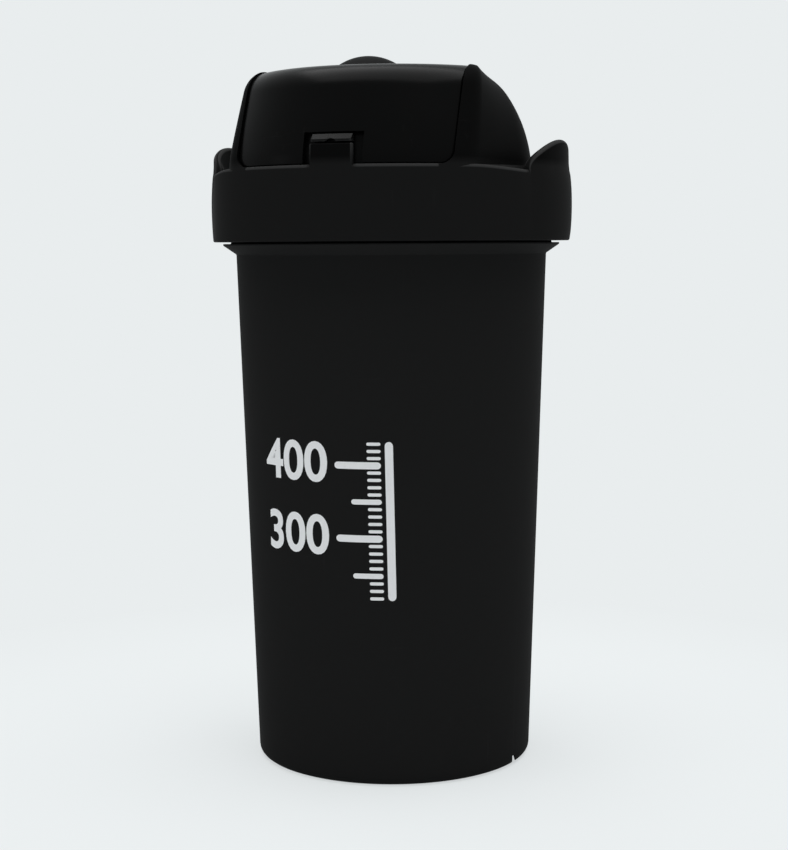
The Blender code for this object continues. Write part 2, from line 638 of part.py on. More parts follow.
def build_spout_plug(material, flip_axis):
    """Soft plug: stopper in the spout, shoulder on its rim, neck through the cap and a domed head on top."""
    rim = SPOUT_BORE - SEAT_GAP
    tip = rim - PLUG_DEPTH * PLUG_DRAFT
    shoulder = SPOUT_TOP + SEAT_GAP
    head = CAP_TOP + SEAT_GAP
    profile = rounded_profile([
        (0.0, SPOUT_TOP - PLUG_DEPTH, 0.0), (tip, SPOUT_TOP - PLUG_DEPTH, PLUG_EDGE),
        (rim, shoulder, 0.0), (SPOUT_RADIUS - SEAT_GAP, shoulder, PLUG_EDGE),
        (SPOUT_RADIUS - SEAT_GAP, shoulder + PLUG_SHOULDER, PLUG_EDGE),
        (PLUG_BODY_RADIUS, shoulder + PLUG_SHOULDER, 0.0),
        (PLUG_BODY_RADIUS, CAP_CEILING - SEAT_GAP, PLUG_EDGE),
        (PLUG_NECK_RADIUS, CAP_CEILING - SEAT_GAP, 0.0), (PLUG_NECK_RADIUS, head, 0.0)])
    dome = (PLUG_HEAD_RADIUS ** 2 + PLUG_HEAD_HEIGHT ** 2) / (2.0 * PLUG_HEAD_HEIGHT)
    sweep = math.asin(PLUG_HEAD_RADIUS / dome)
    for i in range(DOME_STEPS + 1):
        turn = sweep * (1.0 - i / DOME_STEPS)
        height = head + PLUG_HEAD_HEIGHT - dome * (1.0 - math.cos(turn))
        profile.append(Vector((dome * math.sin(turn), height)))
    mesh_data = turned(profile, SMALL_STEPS, (0.0, -SPOUT_FORWARD))
    return make_object("spout_plug", mesh_data, material, flip_axis.location, flip_axis)


def build_lid_gasket(material, lid_axis):
    """Flat sealing ring with rounded edges, between the cup's rim and the underside of the deck."""
    middle = (NECK_RADIUS + MOUTH_RADIUS) / 2.0
    inner = middle - GASKET_WIDTH / 2.0
    outer = middle + GASKET_WIDTH / 2.0
    corners = [(inner, GASKET_BOTTOM), (outer, GASKET_BOTTOM), (outer, GASKET_TOP), (inner, GASKET_TOP)]
    profile = rounded_profile([(radius, z, GASKET_EDGE) for radius, z in corners])
    return make_object("lid_gasket", turned(profile, ROUND_STEPS), material, lid_axis.location, lid_axis)


def grid_sheet(outer_radius):
    """Flat mixing grid: round bars about a hub, crossed by spokes of even width."""
    opening = (outer_radius - GRID_HUB_RADIUS - GRID_RINGS * GRID_BAR) / GRID_RINGS
    radii = [GRID_HUB_RADIUS]
    for ring in range(GRID_RINGS):
        radii += [radii[-1] + opening, radii[-1] + opening + GRID_BAR]
    mesh_data = bmesh.new()
    circles = []
    for radius in radii:
        half_angle = math.asin(GRID_BAR / 2.0 / radius)
        circle = []
        for spoke in range(GRID_SPOKES):
            bearing = 2.0 * math.pi * spoke / GRID_SPOKES
            for turn in (bearing - half_angle, bearing + half_angle):
                point = (radius * math.cos(turn), radius * math.sin(turn), STRAINER_FLOOR)
                circle.append(mesh_data.verts.new(point))
        circles.append(circle)
    mesh_data.faces.new(circles[0])
    count = 2 * GRID_SPOKES
    for ring in range(len(radii) - 1):
        is_bar = ring % 2 == 1
        sparse = ring // 2 < GRID_SPARSE_RINGS
        for i in range(count):
            on_spoke = i % 2 == 0 and not (sparse and (i // 2) % 2 == 1)
            if is_bar or on_spoke:
                after = (i + 1) % count
                mesh_data.faces.new((circles[ring][i], circles[ring + 1][i],
                                     circles[ring + 1][after], circles[ring][after]))
    grown = bmesh.ops.extrude_face_region(mesh_data, geom=list(mesh_data.faces))
    lifted = [item for item in grown["geom"] if isinstance(item, bmesh.types.BMVert)]
    bmesh.ops.translate(mesh_data, verts=lifted, vec=(0.0, 0.0, GRID_THICKNESS))
    return mesh_data


def build_strainer(material, lid_axis):
    """Drop-in basket: flange on the cup's ledge, tapered wall and the mixing grid as its floor."""
    outer_bottom = STRAINER_RADIUS - STRAINER_DEPTH * STRAINER_DRAFT
    flange_radius = MOUTH_RADIUS - SEAT_GAP
    profile = rounded_profile([
        (outer_bottom - STRAINER_WALL, STRAINER_FLOOR, 0.0), (outer_bottom, STRAINER_FLOOR, STRAINER_EDGE),
        (STRAINER_RADIUS, FLANGE_BOTTOM, 0.0), (flange_radius, FLANGE_BOTTOM, 0.0),
        (flange_radius, FLANGE_TOP, STRAINER_EDGE),
        (STRAINER_RADIUS - STRAINER_WALL, FLANGE_TOP, STRAINER_EDGE),
        (outer_bottom - STRAINER_WALL, STRAINER_FLOOR + GRID_THICKNESS / 2.0, 0.0)])
    basket = turned(profile, 2 * GRID_SPOKES)
    strainer = make_object("strainer", basket, material, lid_axis.location, lid_axis)
    grid = make_tool("mixing_grid", grid_sheet(outer_bottom - STRAINER_WALL / 2.0))
    combine(strainer, grid, "UNION")
    return strainer


def main():
    clear_scene()
    black = (0.012, 0.012, 0.013)
    lid_axis = make_axis("lid_axis", Vector((0.0, 0.0, SKIRT_BOTTOM)))
    flip_axis = make_axis("flip_axis", Vector((0.0, HINGE_BACK, HINGE_Z)))
    build_cup(plastic("cup_black", black, 0.42))
    build_strainer(plastic("strainer_black", black, 0.4), lid_axis)
    build_lid_gasket(plastic("gasket_grey", (0.11, 0.11, 0.115), 0.55), lid_axis)
    build_lid_body(plastic("lid_black", black, 0.35), lid_axis)
    build_hinge_pin(metal("pin_steel", (0.55, 0.55, 0.56), 0.3), lid_axis)
    build_flip_cap(plastic("cap_gloss_black", black, 0.2), flip_axis)
    build_spout_plug(plastic("plug_black", (0.02, 0.02, 0.021), 0.5), flip_axis)


main()
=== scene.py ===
import math

import bmesh
import bpy
from mathutils import Matrix, Vector


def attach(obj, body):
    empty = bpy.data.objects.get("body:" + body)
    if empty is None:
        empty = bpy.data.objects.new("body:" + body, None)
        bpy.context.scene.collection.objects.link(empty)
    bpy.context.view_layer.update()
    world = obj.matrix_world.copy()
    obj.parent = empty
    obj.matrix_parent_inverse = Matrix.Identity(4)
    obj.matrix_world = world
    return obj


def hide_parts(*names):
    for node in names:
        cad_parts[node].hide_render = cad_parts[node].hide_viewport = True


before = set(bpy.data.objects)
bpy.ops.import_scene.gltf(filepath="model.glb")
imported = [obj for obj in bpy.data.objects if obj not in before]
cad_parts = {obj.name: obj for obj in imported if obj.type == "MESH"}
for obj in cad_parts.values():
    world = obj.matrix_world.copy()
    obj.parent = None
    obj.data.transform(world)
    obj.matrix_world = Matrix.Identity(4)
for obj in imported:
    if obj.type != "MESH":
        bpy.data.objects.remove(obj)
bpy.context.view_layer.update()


# Cup.
# Tapered drinking cup, injection moulded in one piece from black polypropylene. A collar stops the skirt,
# the neck carries a turn and a half of thread, and the foot ring has two slots that drain it after washing.

MM = 0.001
CUP_BASE_RADIUS = 39.3 * MM
CUP_TOP_RADIUS = 44.1 * MM
CUP_SHOULDER = 144.1 * MM
CUP_WALL = 1.8 * MM
CUP_FLOOR_TOP = 4.8 * MM
FOOT_HEIGHT = 2.6 * MM
COLLAR_RADIUS = 47.8 * MM
COLLAR_TOP = 147.1 * MM
NECK_RADIUS = 45.6 * MM
RIM = 161.8 * MM
LEDGE = 158.3 * MM
THROAT_RADIUS = 42.3 * MM
MOUTH_RADIUS = 43.7 * MM
THREAD_PITCH = 4.5 * MM
THREAD_TURNS = 1.5
THREAD_START = COLLAR_TOP + 3.6 * MM
THREAD_BEARING = math.radians(200.0)
NOTCH_BEARING = math.radians(77.3)
NOTCH_HEADING = math.radians(18.0)
NOTCH_HALF_WIDTH = 0.5 * MM
NOTCH_HEIGHT = 2.9 * MM
CUP_SLOPE = (CUP_TOP_RADIUS - CUP_BASE_RADIUS) / CUP_SHOULDER


def rounded_profile(corners, steps=6):
    """Points of an outline from (radius, height, fillet) corners; a fillet of 0 stays sharp."""
    points = []
    count = len(corners)
    for index, (radius, height, fillet) in enumerate(corners):
        here = Vector((radius, height))
        if fillet == 0.0:
            points.append(here)
            continue
        before = (Vector(corners[index - 1][:2]) - here).normalized()
        after = (Vector(corners[(index + 1) % count][:2]) - here).normalized()
        half_angle = before.angle(after) / 2.0
        centre = here + (before + after).normalized() * (fillet / math.sin(half_angle))
        start = here + before * (fillet / math.tan(half_angle)) - centre
        finish = here + after * (fillet / math.tan(half_angle)) - centre
        first = math.atan2(start.y, start.x)
        sweep = math.remainder(math.atan2(finish.y, finish.x) - first, 2.0 * math.pi)
        for step in range(steps + 1):
            turn = first + sweep * step / steps
            points.append(centre + Vector((math.cos(turn), math.sin(turn))) * fillet)
    return points


def bridged(loops, closed):
    """Skin loops of equal length; an open run is capped at each end, a closed one meets its own start."""
    shell = bmesh.new()
    rings = [[shell.verts.new(point) for point in loop] for loop in loops]
    size = len(rings[0])
    for level in range(len(rings) if closed else len(rings) - 1):
        lower = rings[level]
        upper = rings[(level + 1) % len(rings)]
        for i in range(size):
            shell.faces.new((lower[i - 1], lower[i], upper[i], upper[i - 1]))
    if not closed:
        shell.faces.new(list(reversed(rings[0])))
        shell.faces.new(rings[-1])
    bmesh.ops.remove_doubles(shell, verts=shell.verts, dist=1e-7)
    bmesh.ops.dissolve_degenerate(shell, edges=shell.edges, dist=1e-7)
    loose = [edge for edge in shell.edges if not edge.link_faces]
    bmesh.ops.delete(shell, geom=loose, context="EDGES")
    return shell


def turned(profile, steps=192, centre=(0.0, 0.0)):
    """A solid turned about a vertical axis through centre."""
    loops = []
    for i in range(steps):
        turn = 2.0 * math.pi * i / steps
        loops.append([Vector((centre[0] + p.x * math.sin(turn), centre[1] - p.x * math.cos(turn), p.y))
                      for p in profile])
    return bridged(loops, closed=True)


def prism(outline, bottom, top):
    return bridged([[Vector((x, y, z)) for x, y in outline] for z in (bottom, top)], closed=False)


def as_object(name, shell):
    bmesh.ops.recalc_face_normals(shell, faces=shell.faces)
    mesh = bpy.data.meshes.new(name)
    shell.to_mesh(mesh)
    shell.free()
    item = bpy.data.objects.new(name, mesh)
    bpy.context.scene.collection.objects.link(item)
    return item


def settle(item):
    """Apply the modifiers of a piece to its mesh."""
    graph = bpy.context.evaluated_depsgraph_get()
    done = bpy.data.meshes.new_from_object(item.evaluated_get(graph))
    item.modifiers.clear()
    item.data = done
    return item


def worked(item, tool_shell, operation):
    """Cut or join one solid with another and drop the tool."""
    tool = tool_shell if isinstance(tool_shell, bpy.types.Object) else as_object("tool", tool_shell)
    step = item.modifiers.new("work", "BOOLEAN")
    step.operation = operation
    step.solver = "MANIFOLD"
    step.object = tool
    settle(item)
    bpy.data.objects.remove(tool, do_unlink=True)
    return item


def fitted(item, material, body, node=None):
    """Shade a finished piece, give it its material and put it on its body."""
    item.data.materials.clear()
    item.data.materials.append(material)
    item.data.shade_smooth()
    item.data.set_sharp_from_angle(angle=math.radians(34.0))
    flats_first = item.modifiers.new("flats_first", "WEIGHTED_NORMAL")
    flats_first.keep_sharp = True
    settle(item)
    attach(item, body)
    if node:
        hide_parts(node)
    return item


def thread_ridge(root, tip, start_height, root_width, tip_width):
    """A right-handed screw ridge from its root radius to its tip radius that runs out at both ends."""
    steps = int(THREAD_TURNS * 96)
    loops = []
    for i in range(steps + 1):
        share = i / steps
        bearing = THREAD_BEARING + 2.0 * math.pi * THREAD_TURNS * share
        height = start_height + THREAD_PITCH * THREAD_TURNS * share
        fade = min(1.0, 12.0 * share, 12.0 * (1.0 - share))
        fade = fade * fade * (3.0 - 2.0 * fade)
        reach = root + (tip - root) * max(fade, 0.02)
        across = [(root, -root_width / 2.0), (reach, -tip_width / 2.0), (reach, tip_width / 2.0),
                  (root, root_width / 2.0)]
        loops.append([Vector((r * math.sin(bearing), -r * math.cos(bearing), height + z))
                      for r, z in across])
    return bridged(loops, closed=False)


def group_of_nodes(name, inputs, outputs):
    """An empty shader node group with float, vector and colour sockets."""
    group = bpy.data.node_groups.new(name, "ShaderNodeTree")
    for label, kind, value in inputs:
        socket = group.interface.new_socket(name=label, in_out="INPUT", socket_type=kind)
        if value is not None:
            socket.default_value = value
    for label, kind in outputs:
        group.interface.new_socket(name=label, in_out="OUTPUT", socket_type=kind)
    return group, group.nodes.new("NodeGroupInput"), group.nodes.new("NodeGroupOutput")


def number_node(tree, operation, first, second=None, clamp=False):
    """A Math node; each operand is a socket or a number."""
    node = tree.nodes.new("ShaderNodeMath")
    node.operation = operation
    node.use_clamp = clamp
    for socket, value in zip(node.inputs, (first, second)):
        if value is None:
            continue
        if isinstance(value, (int, float)):
            socket.default_value = value
        else:
            tree.links.new(value, socket)
    return node.outputs[0]


def noise_node(tree, place, scale, detail=2.0, roughness=0.5):
    node = tree.nodes.new("ShaderNodeTexNoise")
    node.inputs["Detail"].default_value = detail
    node.inputs["Roughness"].default_value = roughness
    tree.links.new(place, node.inputs["Vector"])
    if isinstance(scale, (int, float)):
        node.inputs["Scale"].default_value = scale
    else:
        tree.links.new(scale, node.inputs["Scale"])
    return node.outputs["Fac"]


# Skin that a satin or polished mould leaves on plastic: a fine even grain over a faint broad unevenness.
moulded_skin, skin_in, skin_out = group_of_nodes(
    "moulded_skin",
    [("Place", "NodeSocketVector", None), ("Grain Scale", "NodeSocketFloat", 2600.0),
     ("Grain Depth", "NodeSocketFloat", 0.5), ("Roughness", "NodeSocketFloat", 0.4),
     ("Roughness Spread", "NodeSocketFloat", 0.06)],
    [("Height", "NodeSocketFloat"), ("Roughness", "NodeSocketFloat")])
grain = noise_node(moulded_skin, skin_in.outputs["Place"], skin_in.outputs["Grain Scale"], 2.0, 0.6)
waver = noise_node(moulded_skin, skin_in.outputs["Place"], 90.0, 1.0)
broad = number_node(moulded_skin, "MULTIPLY", waver, 0.6)
fine = number_node(moulded_skin, "MULTIPLY", grain, skin_in.outputs["Grain Depth"])
moulded_skin.links.new(number_node(moulded_skin, "ADD", broad, fine), skin_out.inputs["Height"])
blotches = noise_node(moulded_skin, skin_in.outputs["Place"], 45.0, 3.0)
patch = number_node(moulded_skin, "SUBTRACT", blotches, 0.5)
shift = number_node(moulded_skin, "MULTIPLY", patch, skin_in.outputs["Roughness Spread"])
moulded_skin.links.new(number_node(moulded_skin, "ADD", skin_in.outputs["Roughness"], shift, clamp=True),
                       skin_out.inputs["Roughness"])

# Hair-fine handling scratches in two directions and the odd scuff, from being washed and carried about.
handling_marks, marks_in, marks_out = group_of_nodes(
    "handling_marks",
    [("Place", "NodeSocketVector", None), ("Amount", "NodeSocketFloat", 0.3)],
    [("Mask", "NodeSocketFloat")])
layers = []
for name, stretch, turn in (("rising", (260.0, 260.0, 14.0), (0.2, 0.1, 0.0)),
                            ("level", (30.0, 30.0, 520.0), (0.12, -0.1, 0.4))):
    lay = handling_marks.nodes.new("ShaderNodeMapping")
    lay.name = name
    lay.inputs["Scale"].default_value = stretch
    lay.inputs["Rotation"].default_value = turn
    handling_marks.links.new(marks_in.outputs["Place"], lay.inputs["Vector"])
    streak = noise_node(handling_marks, lay.outputs["Vector"], 2.4, 3.0, 0.65)
    deepest = number_node(handling_marks, "SUBTRACT", streak, 0.66)
    layers.append(number_node(handling_marks, "MULTIPLY", deepest, 9.0, clamp=True))
patches = noise_node(handling_marks, marks_in.outputs["Place"], 32.0, 2.0)
handled = number_node(handling_marks, "SUBTRACT", patches, 0.46)
where = number_node(handling_marks, "MULTIPLY", handled, 5.0, clamp=True)
both = number_node(handling_marks, "MAXIMUM", layers[0], layers[1])
kept = number_node(handling_marks, "MULTIPLY", both, where)
handling_marks.links.new(number_node(handling_marks, "MULTIPLY", kept, marks_in.outputs["Amount"]),
                         marks_out.inputs["Mask"])


def moulded_finish(name, colour, worn_and_highlight_colour, roughness, spread, grain_scale, grain_depth, bump, marks,
                   specular):
    """A moulded material: its skin, its handling marks, scratch greying and a painted highlight on marked
    edges.
    """
    material = bpy.data.materials.new(name)
    material.use_nodes = True
    tree = material.node_tree
    shader = tree.nodes["Principled BSDF"]
    shader.inputs["Specular IOR Level"].default_value = specular
    place = tree.nodes.new("ShaderNodeTexCoord").outputs["Object"]
    skin = tree.nodes.new("ShaderNodeGroup")
    skin.node_tree = moulded_skin
    skin.inputs["Grain Scale"].default_value = grain_scale
    skin.inputs["Grain Depth"].default_value = grain_depth
    skin.inputs["Roughness"].default_value = roughness
    skin.inputs["Roughness Spread"].default_value = spread
    worn = tree.nodes.new("ShaderNodeGroup")
    worn.node_tree = handling_marks
    worn.inputs["Amount"].default_value = marks
    tree.links.new(place, skin.inputs["Place"])
    tree.links.new(place, worn.inputs["Place"])
    tint = tree.nodes.new("ShaderNodeMix")
    tint.name = "tint"
    tint.data_type = "RGBA"
    tint.inputs["A"].default_value = (*colour, 1.0)
    tint.inputs["B"].default_value = (*worn_and_highlight_colour, 1.0)
    # Edges marked in a piece's mesh are paled toward the worn colour as a painted highlight, as if they
    # caught the light.
    edges = tree.nodes.new("ShaderNodeAttribute")
    edges.attribute_name = "painted_edge_highlight"
    worn_or_highlit = number_node(tree, "MAXIMUM", worn.outputs["Mask"], edges.outputs["Fac"])
    tree.links.new(worn_or_highlit, tint.inputs["Factor"])
    tree.links.new(tint.outputs["Result"], shader.inputs["Base Color"])
    rougher = number_node(tree, "MULTIPLY", worn.outputs["Mask"], 0.12)
    dulled = number_node(tree, "ADD", skin.outputs["Roughness"], rougher, clamp=True)
    tree.links.new(dulled, shader.inputs["Roughness"])
    relief = tree.nodes.new("ShaderNodeBump")
    relief.inputs["Strength"].default_value = bump
    relief.inputs["Distance"].default_value = 0.02 * MM
    tree.links.new(skin.outputs["Height"], relief.inputs["Height"])
    tree.links.new(relief.outputs["Normal"], shader.inputs["Normal"])
    return material


satin_cup = moulded_finish(
    "satin_cup_black", colour=(0.0131, 0.013, 0.013), worn_and_highlight_colour=(0.025, 0.025, 0.025), roughness=0.62,
    spread=0.08, grain_scale=2400.0, grain_depth=0.8, bump=0.5, marks=0.35, specular=0.006)

cup = as_object("shaker_cup", turned(rounded_profile([
    (0.0, FOOT_HEIGHT, 0.0),
    (31.1 * MM, FOOT_HEIGHT, 0.6 * MM),
    (32.4 * MM, 0.0, 0.5 * MM),
    (CUP_BASE_RADIUS, 0.0, 2.4 * MM),
    (CUP_TOP_RADIUS, CUP_SHOULDER, 0.5 * MM),
    (COLLAR_RADIUS, COLLAR_TOP - 0.45 * MM, 0.18 * MM),
    (COLLAR_RADIUS, COLLAR_TOP, 0.18 * MM),
    (NECK_RADIUS, COLLAR_TOP, 0.3 * MM),
    (NECK_RADIUS, RIM, 0.6 * MM),
    (MOUTH_RADIUS, RIM, 0.5 * MM),
    (MOUTH_RADIUS, LEDGE, 0.25 * MM),
    (THROAT_RADIUS, LEDGE, 0.3 * MM),
    (THROAT_RADIUS, CUP_SHOULDER, 3.0 * MM),
    (CUP_BASE_RADIUS + CUP_SLOPE * CUP_FLOOR_TOP - CUP_WALL, CUP_FLOOR_TOP, 2.8 * MM),
    (0.0, CUP_FLOOR_TOP, 0.0)])))
for side in (0.0, math.pi):
    place = NOTCH_BEARING + side
    heading = NOTCH_HEADING + side
    mouth = Vector((CUP_BASE_RADIUS * math.sin(place), -CUP_BASE_RADIUS * math.cos(place)))
    inward = Vector((-math.sin(heading), math.cos(heading)))
    across = Vector((-inward.y, inward.x)) * NOTCH_HALF_WIDTH
    outer = mouth - inward * 6.0 * MM
    inner = mouth + inward * 14.0 * MM
    notch_plan = [outer + across, inner + across, inner - across, outer - across]
    worked(cup, prism([(p.x, p.y) for p in notch_plan], -1.0 * MM, NOTCH_HEIGHT), "DIFFERENCE")
worked(cup, thread_ridge(NECK_RADIUS - 0.4 * MM, NECK_RADIUS + 1.15 * MM, THREAD_START, 2.2 * MM, 0.9 * MM),
       "UNION")
fitted(cup, satin_cup, "cup", "cup")


# Measuring scale.
# White ink, pad printed on the outside of the cup: an upright with a line for each 10 ml, longer at each
# 50 and 100, and figures at the hundreds. The heights follow from the room inside the cup.

SCALE_BEARING = math.radians(-11.0)
SCALE_FIRST = 220
SCALE_LAST = 430
UPRIGHT = 20.5 * MM
UPRIGHT_WIDTH = 2.2 * MM
FIGURE_SIZE = 15.0 * MM
FIGURE_RIGHT = 3.5 * MM
INK_SUNK = 0.02 * MM
INK_PROUD = 0.06 * MM


def cup_outside(height):
    return CUP_BASE_RADIUS + CUP_SLOPE * height


def level_of(millilitres):
    """Height of the drink's surface when that much is in the cup."""
    height = CUP_FLOOR_TOP
    step = 0.05 * MM
    filled = 0.0
    while filled < millilitres * 1e-6:
        filled += math.pi * (cup_outside(height) - CUP_WALL) ** 2 * step
        height += step
    return height


def line_outline(left, right, height, thickness):
    """A printed line with rounded ends, as points on the unrolled wall."""
    half = thickness / 2.0
    points = []
    for centre, start in ((right - half, -math.pi / 2.0), (left + half, math.pi / 2.0)):
        for i in range(7):
            turn = start + math.pi * i / 6
            points.append((centre + half * math.cos(turn), height + half * math.sin(turn)))
    return points


def figures(text, size, right, height):
    """Flat faces of a printed figure that ends at a right edge, centred on a height."""
    curve = bpy.data.curves.new("figures", "FONT")
    curve.body = text
    curve.size = size
    curve.align_x = "RIGHT"
    curve.align_y = "CENTER"
    curve.offset = size * 0.02
    curve.resolution_u = 6
    item = bpy.data.objects.new("figures", curve)
    bpy.context.scene.collection.objects.link(item)
    mesh = bpy.data.meshes.new_from_object(item.evaluated_get(bpy.context.evaluated_depsgraph_get()))
    bpy.data.objects.remove(item, do_unlink=True)
    mesh.transform(Matrix.Translation((right, height, 0.0)))
    return mesh


ink = bmesh.new()
for amount in range(SCALE_FIRST, SCALE_LAST + 1, 10):
    level = level_of(amount)
    reach, thickness = 6.0 * MM, 0.85 * MM
    if amount % 50 == 0:
        reach, thickness = 10.5 * MM, 1.4 * MM
    if amount % 100 == 0:
        reach, thickness = 15.0 * MM, 1.9 * MM
        numeral = figures(str(amount), FIGURE_SIZE, FIGURE_RIGHT, level)
        ink.from_mesh(numeral)
        bpy.data.meshes.remove(numeral)
    outline = line_outline(UPRIGHT - reach, UPRIGHT - UPRIGHT_WIDTH, level, thickness)
    ink.faces.new([ink.verts.new((x, y, 0.0)) for x, y in outline])
lower_end = level_of(SCALE_FIRST) - 0.6 * MM
upper_end = level_of(SCALE_LAST) + 0.6 * MM
outline = line_outline(lower_end, upper_end, 0.0, UPRIGHT_WIDTH)
ink.faces.new([ink.verts.new((UPRIGHT - y, x, 0.0)) for x, y in outline])
bmesh.ops.remove_doubles(ink, verts=ink.verts, dist=1e-7)
for i in range(-28, 25):
    everything = ink.verts[:] + ink.edges[:] + ink.faces[:]
    bmesh.ops.bisect_plane(ink, geom=everything, dist=1e-7, plane_co=(i * MM, 0.0, 0.0),
                           plane_no=(1.0, 0.0, 0.0))
flat = list(ink.verts)
raised = bmesh.ops.extrude_face_region(ink, geom=list(ink.faces))
tops = [part for part in raised["geom"] if isinstance(part, bmesh.types.BMVert)]
for verts, lift in ((flat, -INK_SUNK), (tops, INK_PROUD)):
    for vert in verts:
        radius = cup_outside(vert.co.y) + lift
        bearing = SCALE_BEARING + vert.co.x / cup_outside(vert.co.y)
        vert.co = Vector((radius * math.sin(bearing), -radius * math.cos(bearing), vert.co.y))

white_ink = bpy.data.materials.new("pad_print_white")
white_ink.use_nodes = True
ink_tree = white_ink.node_tree
ink_shader = ink_tree.nodes["Principled BSDF"]
ink_shader.inputs["Specular IOR Level"].default_value = 0.35
ink_place = ink_tree.nodes.new("ShaderNodeTexCoord").outputs["Object"]
ink_marks = ink_tree.nodes.new("ShaderNodeGroup")
ink_marks.node_tree = handling_marks
ink_marks.inputs["Amount"].default_value = 0.4
ink_tree.links.new(ink_place, ink_marks.inputs["Place"])
ink_tint = ink_tree.nodes.new("ShaderNodeMix")
ink_tint.data_type = "RGBA"
ink_tint.inputs["A"].default_value = (0.86, 0.86, 0.87, 1.0)
ink_tint.inputs["B"].default_value = (0.66, 0.66, 0.67, 1.0)
speckle = noise_node(ink_tree, ink_place, 700.0, 3.0, 0.7)
sparse = number_node(ink_tree, "SUBTRACT", speckle, 0.58)
thin = number_node(ink_tree, "MULTIPLY", sparse, 1.6, clamp=True)
faded = number_node(ink_tree, "MAXIMUM", thin, ink_marks.outputs["Mask"])
ink_tree.links.new(faded, ink_tint.inputs["Factor"])
ink_tree.links.new(ink_tint.outputs["Result"], ink_shader.inputs["Base Color"])
uneven_ink = number_node(ink_tree, "MULTIPLY", speckle, 0.14)
ink_tree.links.new(number_node(ink_tree, "ADD", uneven_ink, 0.42), ink_shader.inputs["Roughness"])
measuring_scale = as_object("measuring_scale", ink)
fitted(measuring_scale, white_ink, "cup")


# Strainer.
# Drop-in mixing basket of black polypropylene, moulded in one piece: a flange that rests on the ledge in
# the cup's mouth, a tapered wall, and a floor of round bars crossed by spokes that breaks up lumps.

SEAT_GAP = 0.3 * MM
STRAINER_RADIUS = 41.4 * MM
STRAINER_FLOOR = 147.0 * MM
STRAINER_WALL = 1.4 * MM
STRAINER_TAPER = 0.08
FLANGE_BOTTOM = LEDGE + SEAT_GAP
FLANGE_TOP = FLANGE_BOTTOM + 1.8 * MM
GRID_THICKNESS = 1.8 * MM
GRID_BAR = 1.6 * MM
GRID_SPOKES = 20
GRID_RINGS = 5
basket_foot = STRAINER_RADIUS - (FLANGE_BOTTOM - STRAINER_FLOOR) * STRAINER_TAPER


def mixing_grid(outer_radius):
    """Flat grid of bars about a hub; every other spoke stops short of the middle."""
    hub = 5.0 * MM
    gap = (outer_radius - hub - GRID_RINGS * GRID_BAR) / GRID_RINGS
    radii = [hub]
    for ring in range(GRID_RINGS):
        radii += [radii[-1] + gap, radii[-1] + gap + GRID_BAR]
    sheet = bmesh.new()
    between = 7
    circles = []
    for radius in radii:
        half = math.asin(GRID_BAR / 2.0 / radius)
        pitch = 2.0 * math.pi / GRID_SPOKES
        circle = []
        for spoke in range(GRID_SPOKES):
            first = spoke * pitch + half
            turns = [spoke * pitch - half]
            turns += [first + (pitch - 2.0 * half) * i / between for i in range(between)]
            for t in turns:
                circle.append(sheet.verts.new((radius * math.cos(t), radius * math.sin(t), STRAINER_FLOOR)))
        circles.append(circle)
    sheet.faces.new(circles[0])
    count = len(circles[0])
    for ring in range(len(radii) - 1):
        for i in range(count):
            spoke, part = divmod(i, between + 1)
            on_spoke = part == 0 and not (ring // 2 < 2 and spoke % 2 == 1)
            if ring % 2 == 1 or on_spoke:
                after = (i + 1) % count
                sheet.faces.new((circles[ring][i], circles[ring + 1][i], circles[ring + 1][after],
                                 circles[ring][after]))
    grown = bmesh.ops.extrude_face_region(sheet, geom=list(sheet.faces))
    lifted = [part for part in grown["geom"] if isinstance(part, bmesh.types.BMVert)]
    bmesh.ops.translate(sheet, verts=lifted, vec=(0.0, 0.0, GRID_THICKNESS))
    return sheet


def eased(item, width, segments=2, angle=38.0):
    """Break a piece's sharp edges with a small round."""
    round_over = item.modifiers.new("ease", "BEVEL")
    round_over.limit_method = "ANGLE"
    round_over.angle_limit = math.radians(angle)
    round_over.width = width
    round_over.segments = segments
    round_over.miter_outer = "MITER_ARC"
    return settle(item)


strainer = as_object("mixing_strainer", turned(rounded_profile([
    (basket_foot - STRAINER_WALL, STRAINER_FLOOR, 0.0), (basket_foot, STRAINER_FLOOR, 0.5 * MM),
    (STRAINER_RADIUS, FLANGE_BOTTOM, 0.3 * MM), (MOUTH_RADIUS - SEAT_GAP, FLANGE_BOTTOM, 0.3 * MM),
    (MOUTH_RADIUS - SEAT_GAP, FLANGE_TOP, 0.5 * MM),
    (STRAINER_RADIUS - STRAINER_WALL, FLANGE_TOP, 0.5 * MM),
    (basket_foot - STRAINER_WALL, STRAINER_FLOOR + GRID_THICKNESS / 2.0, 0.0)], 4), 160))
grid = eased(as_object("grid", mixing_grid(basket_foot - STRAINER_WALL / 2.0)), 0.3 * MM)
worked(strainer, grid, "UNION")
satin_strainer = moulded_finish(
    "satin_strainer_black", colour=(0.0072, 0.0072, 0.0074), worn_and_highlight_colour=(0.024, 0.024, 0.025),
    roughness=0.42, spread=0.1, grain_scale=1800.0, grain_depth=0.6, bump=0.45, marks=0.5,
    specular=0.12)
fitted(strainer, satin_strainer, "strainer", "strainer")


# Lid gasket.
# Soft grey silicone ring, pressed into the lid against the underside of its deck, where it seals on the
# cup's rim with two fine ribs.

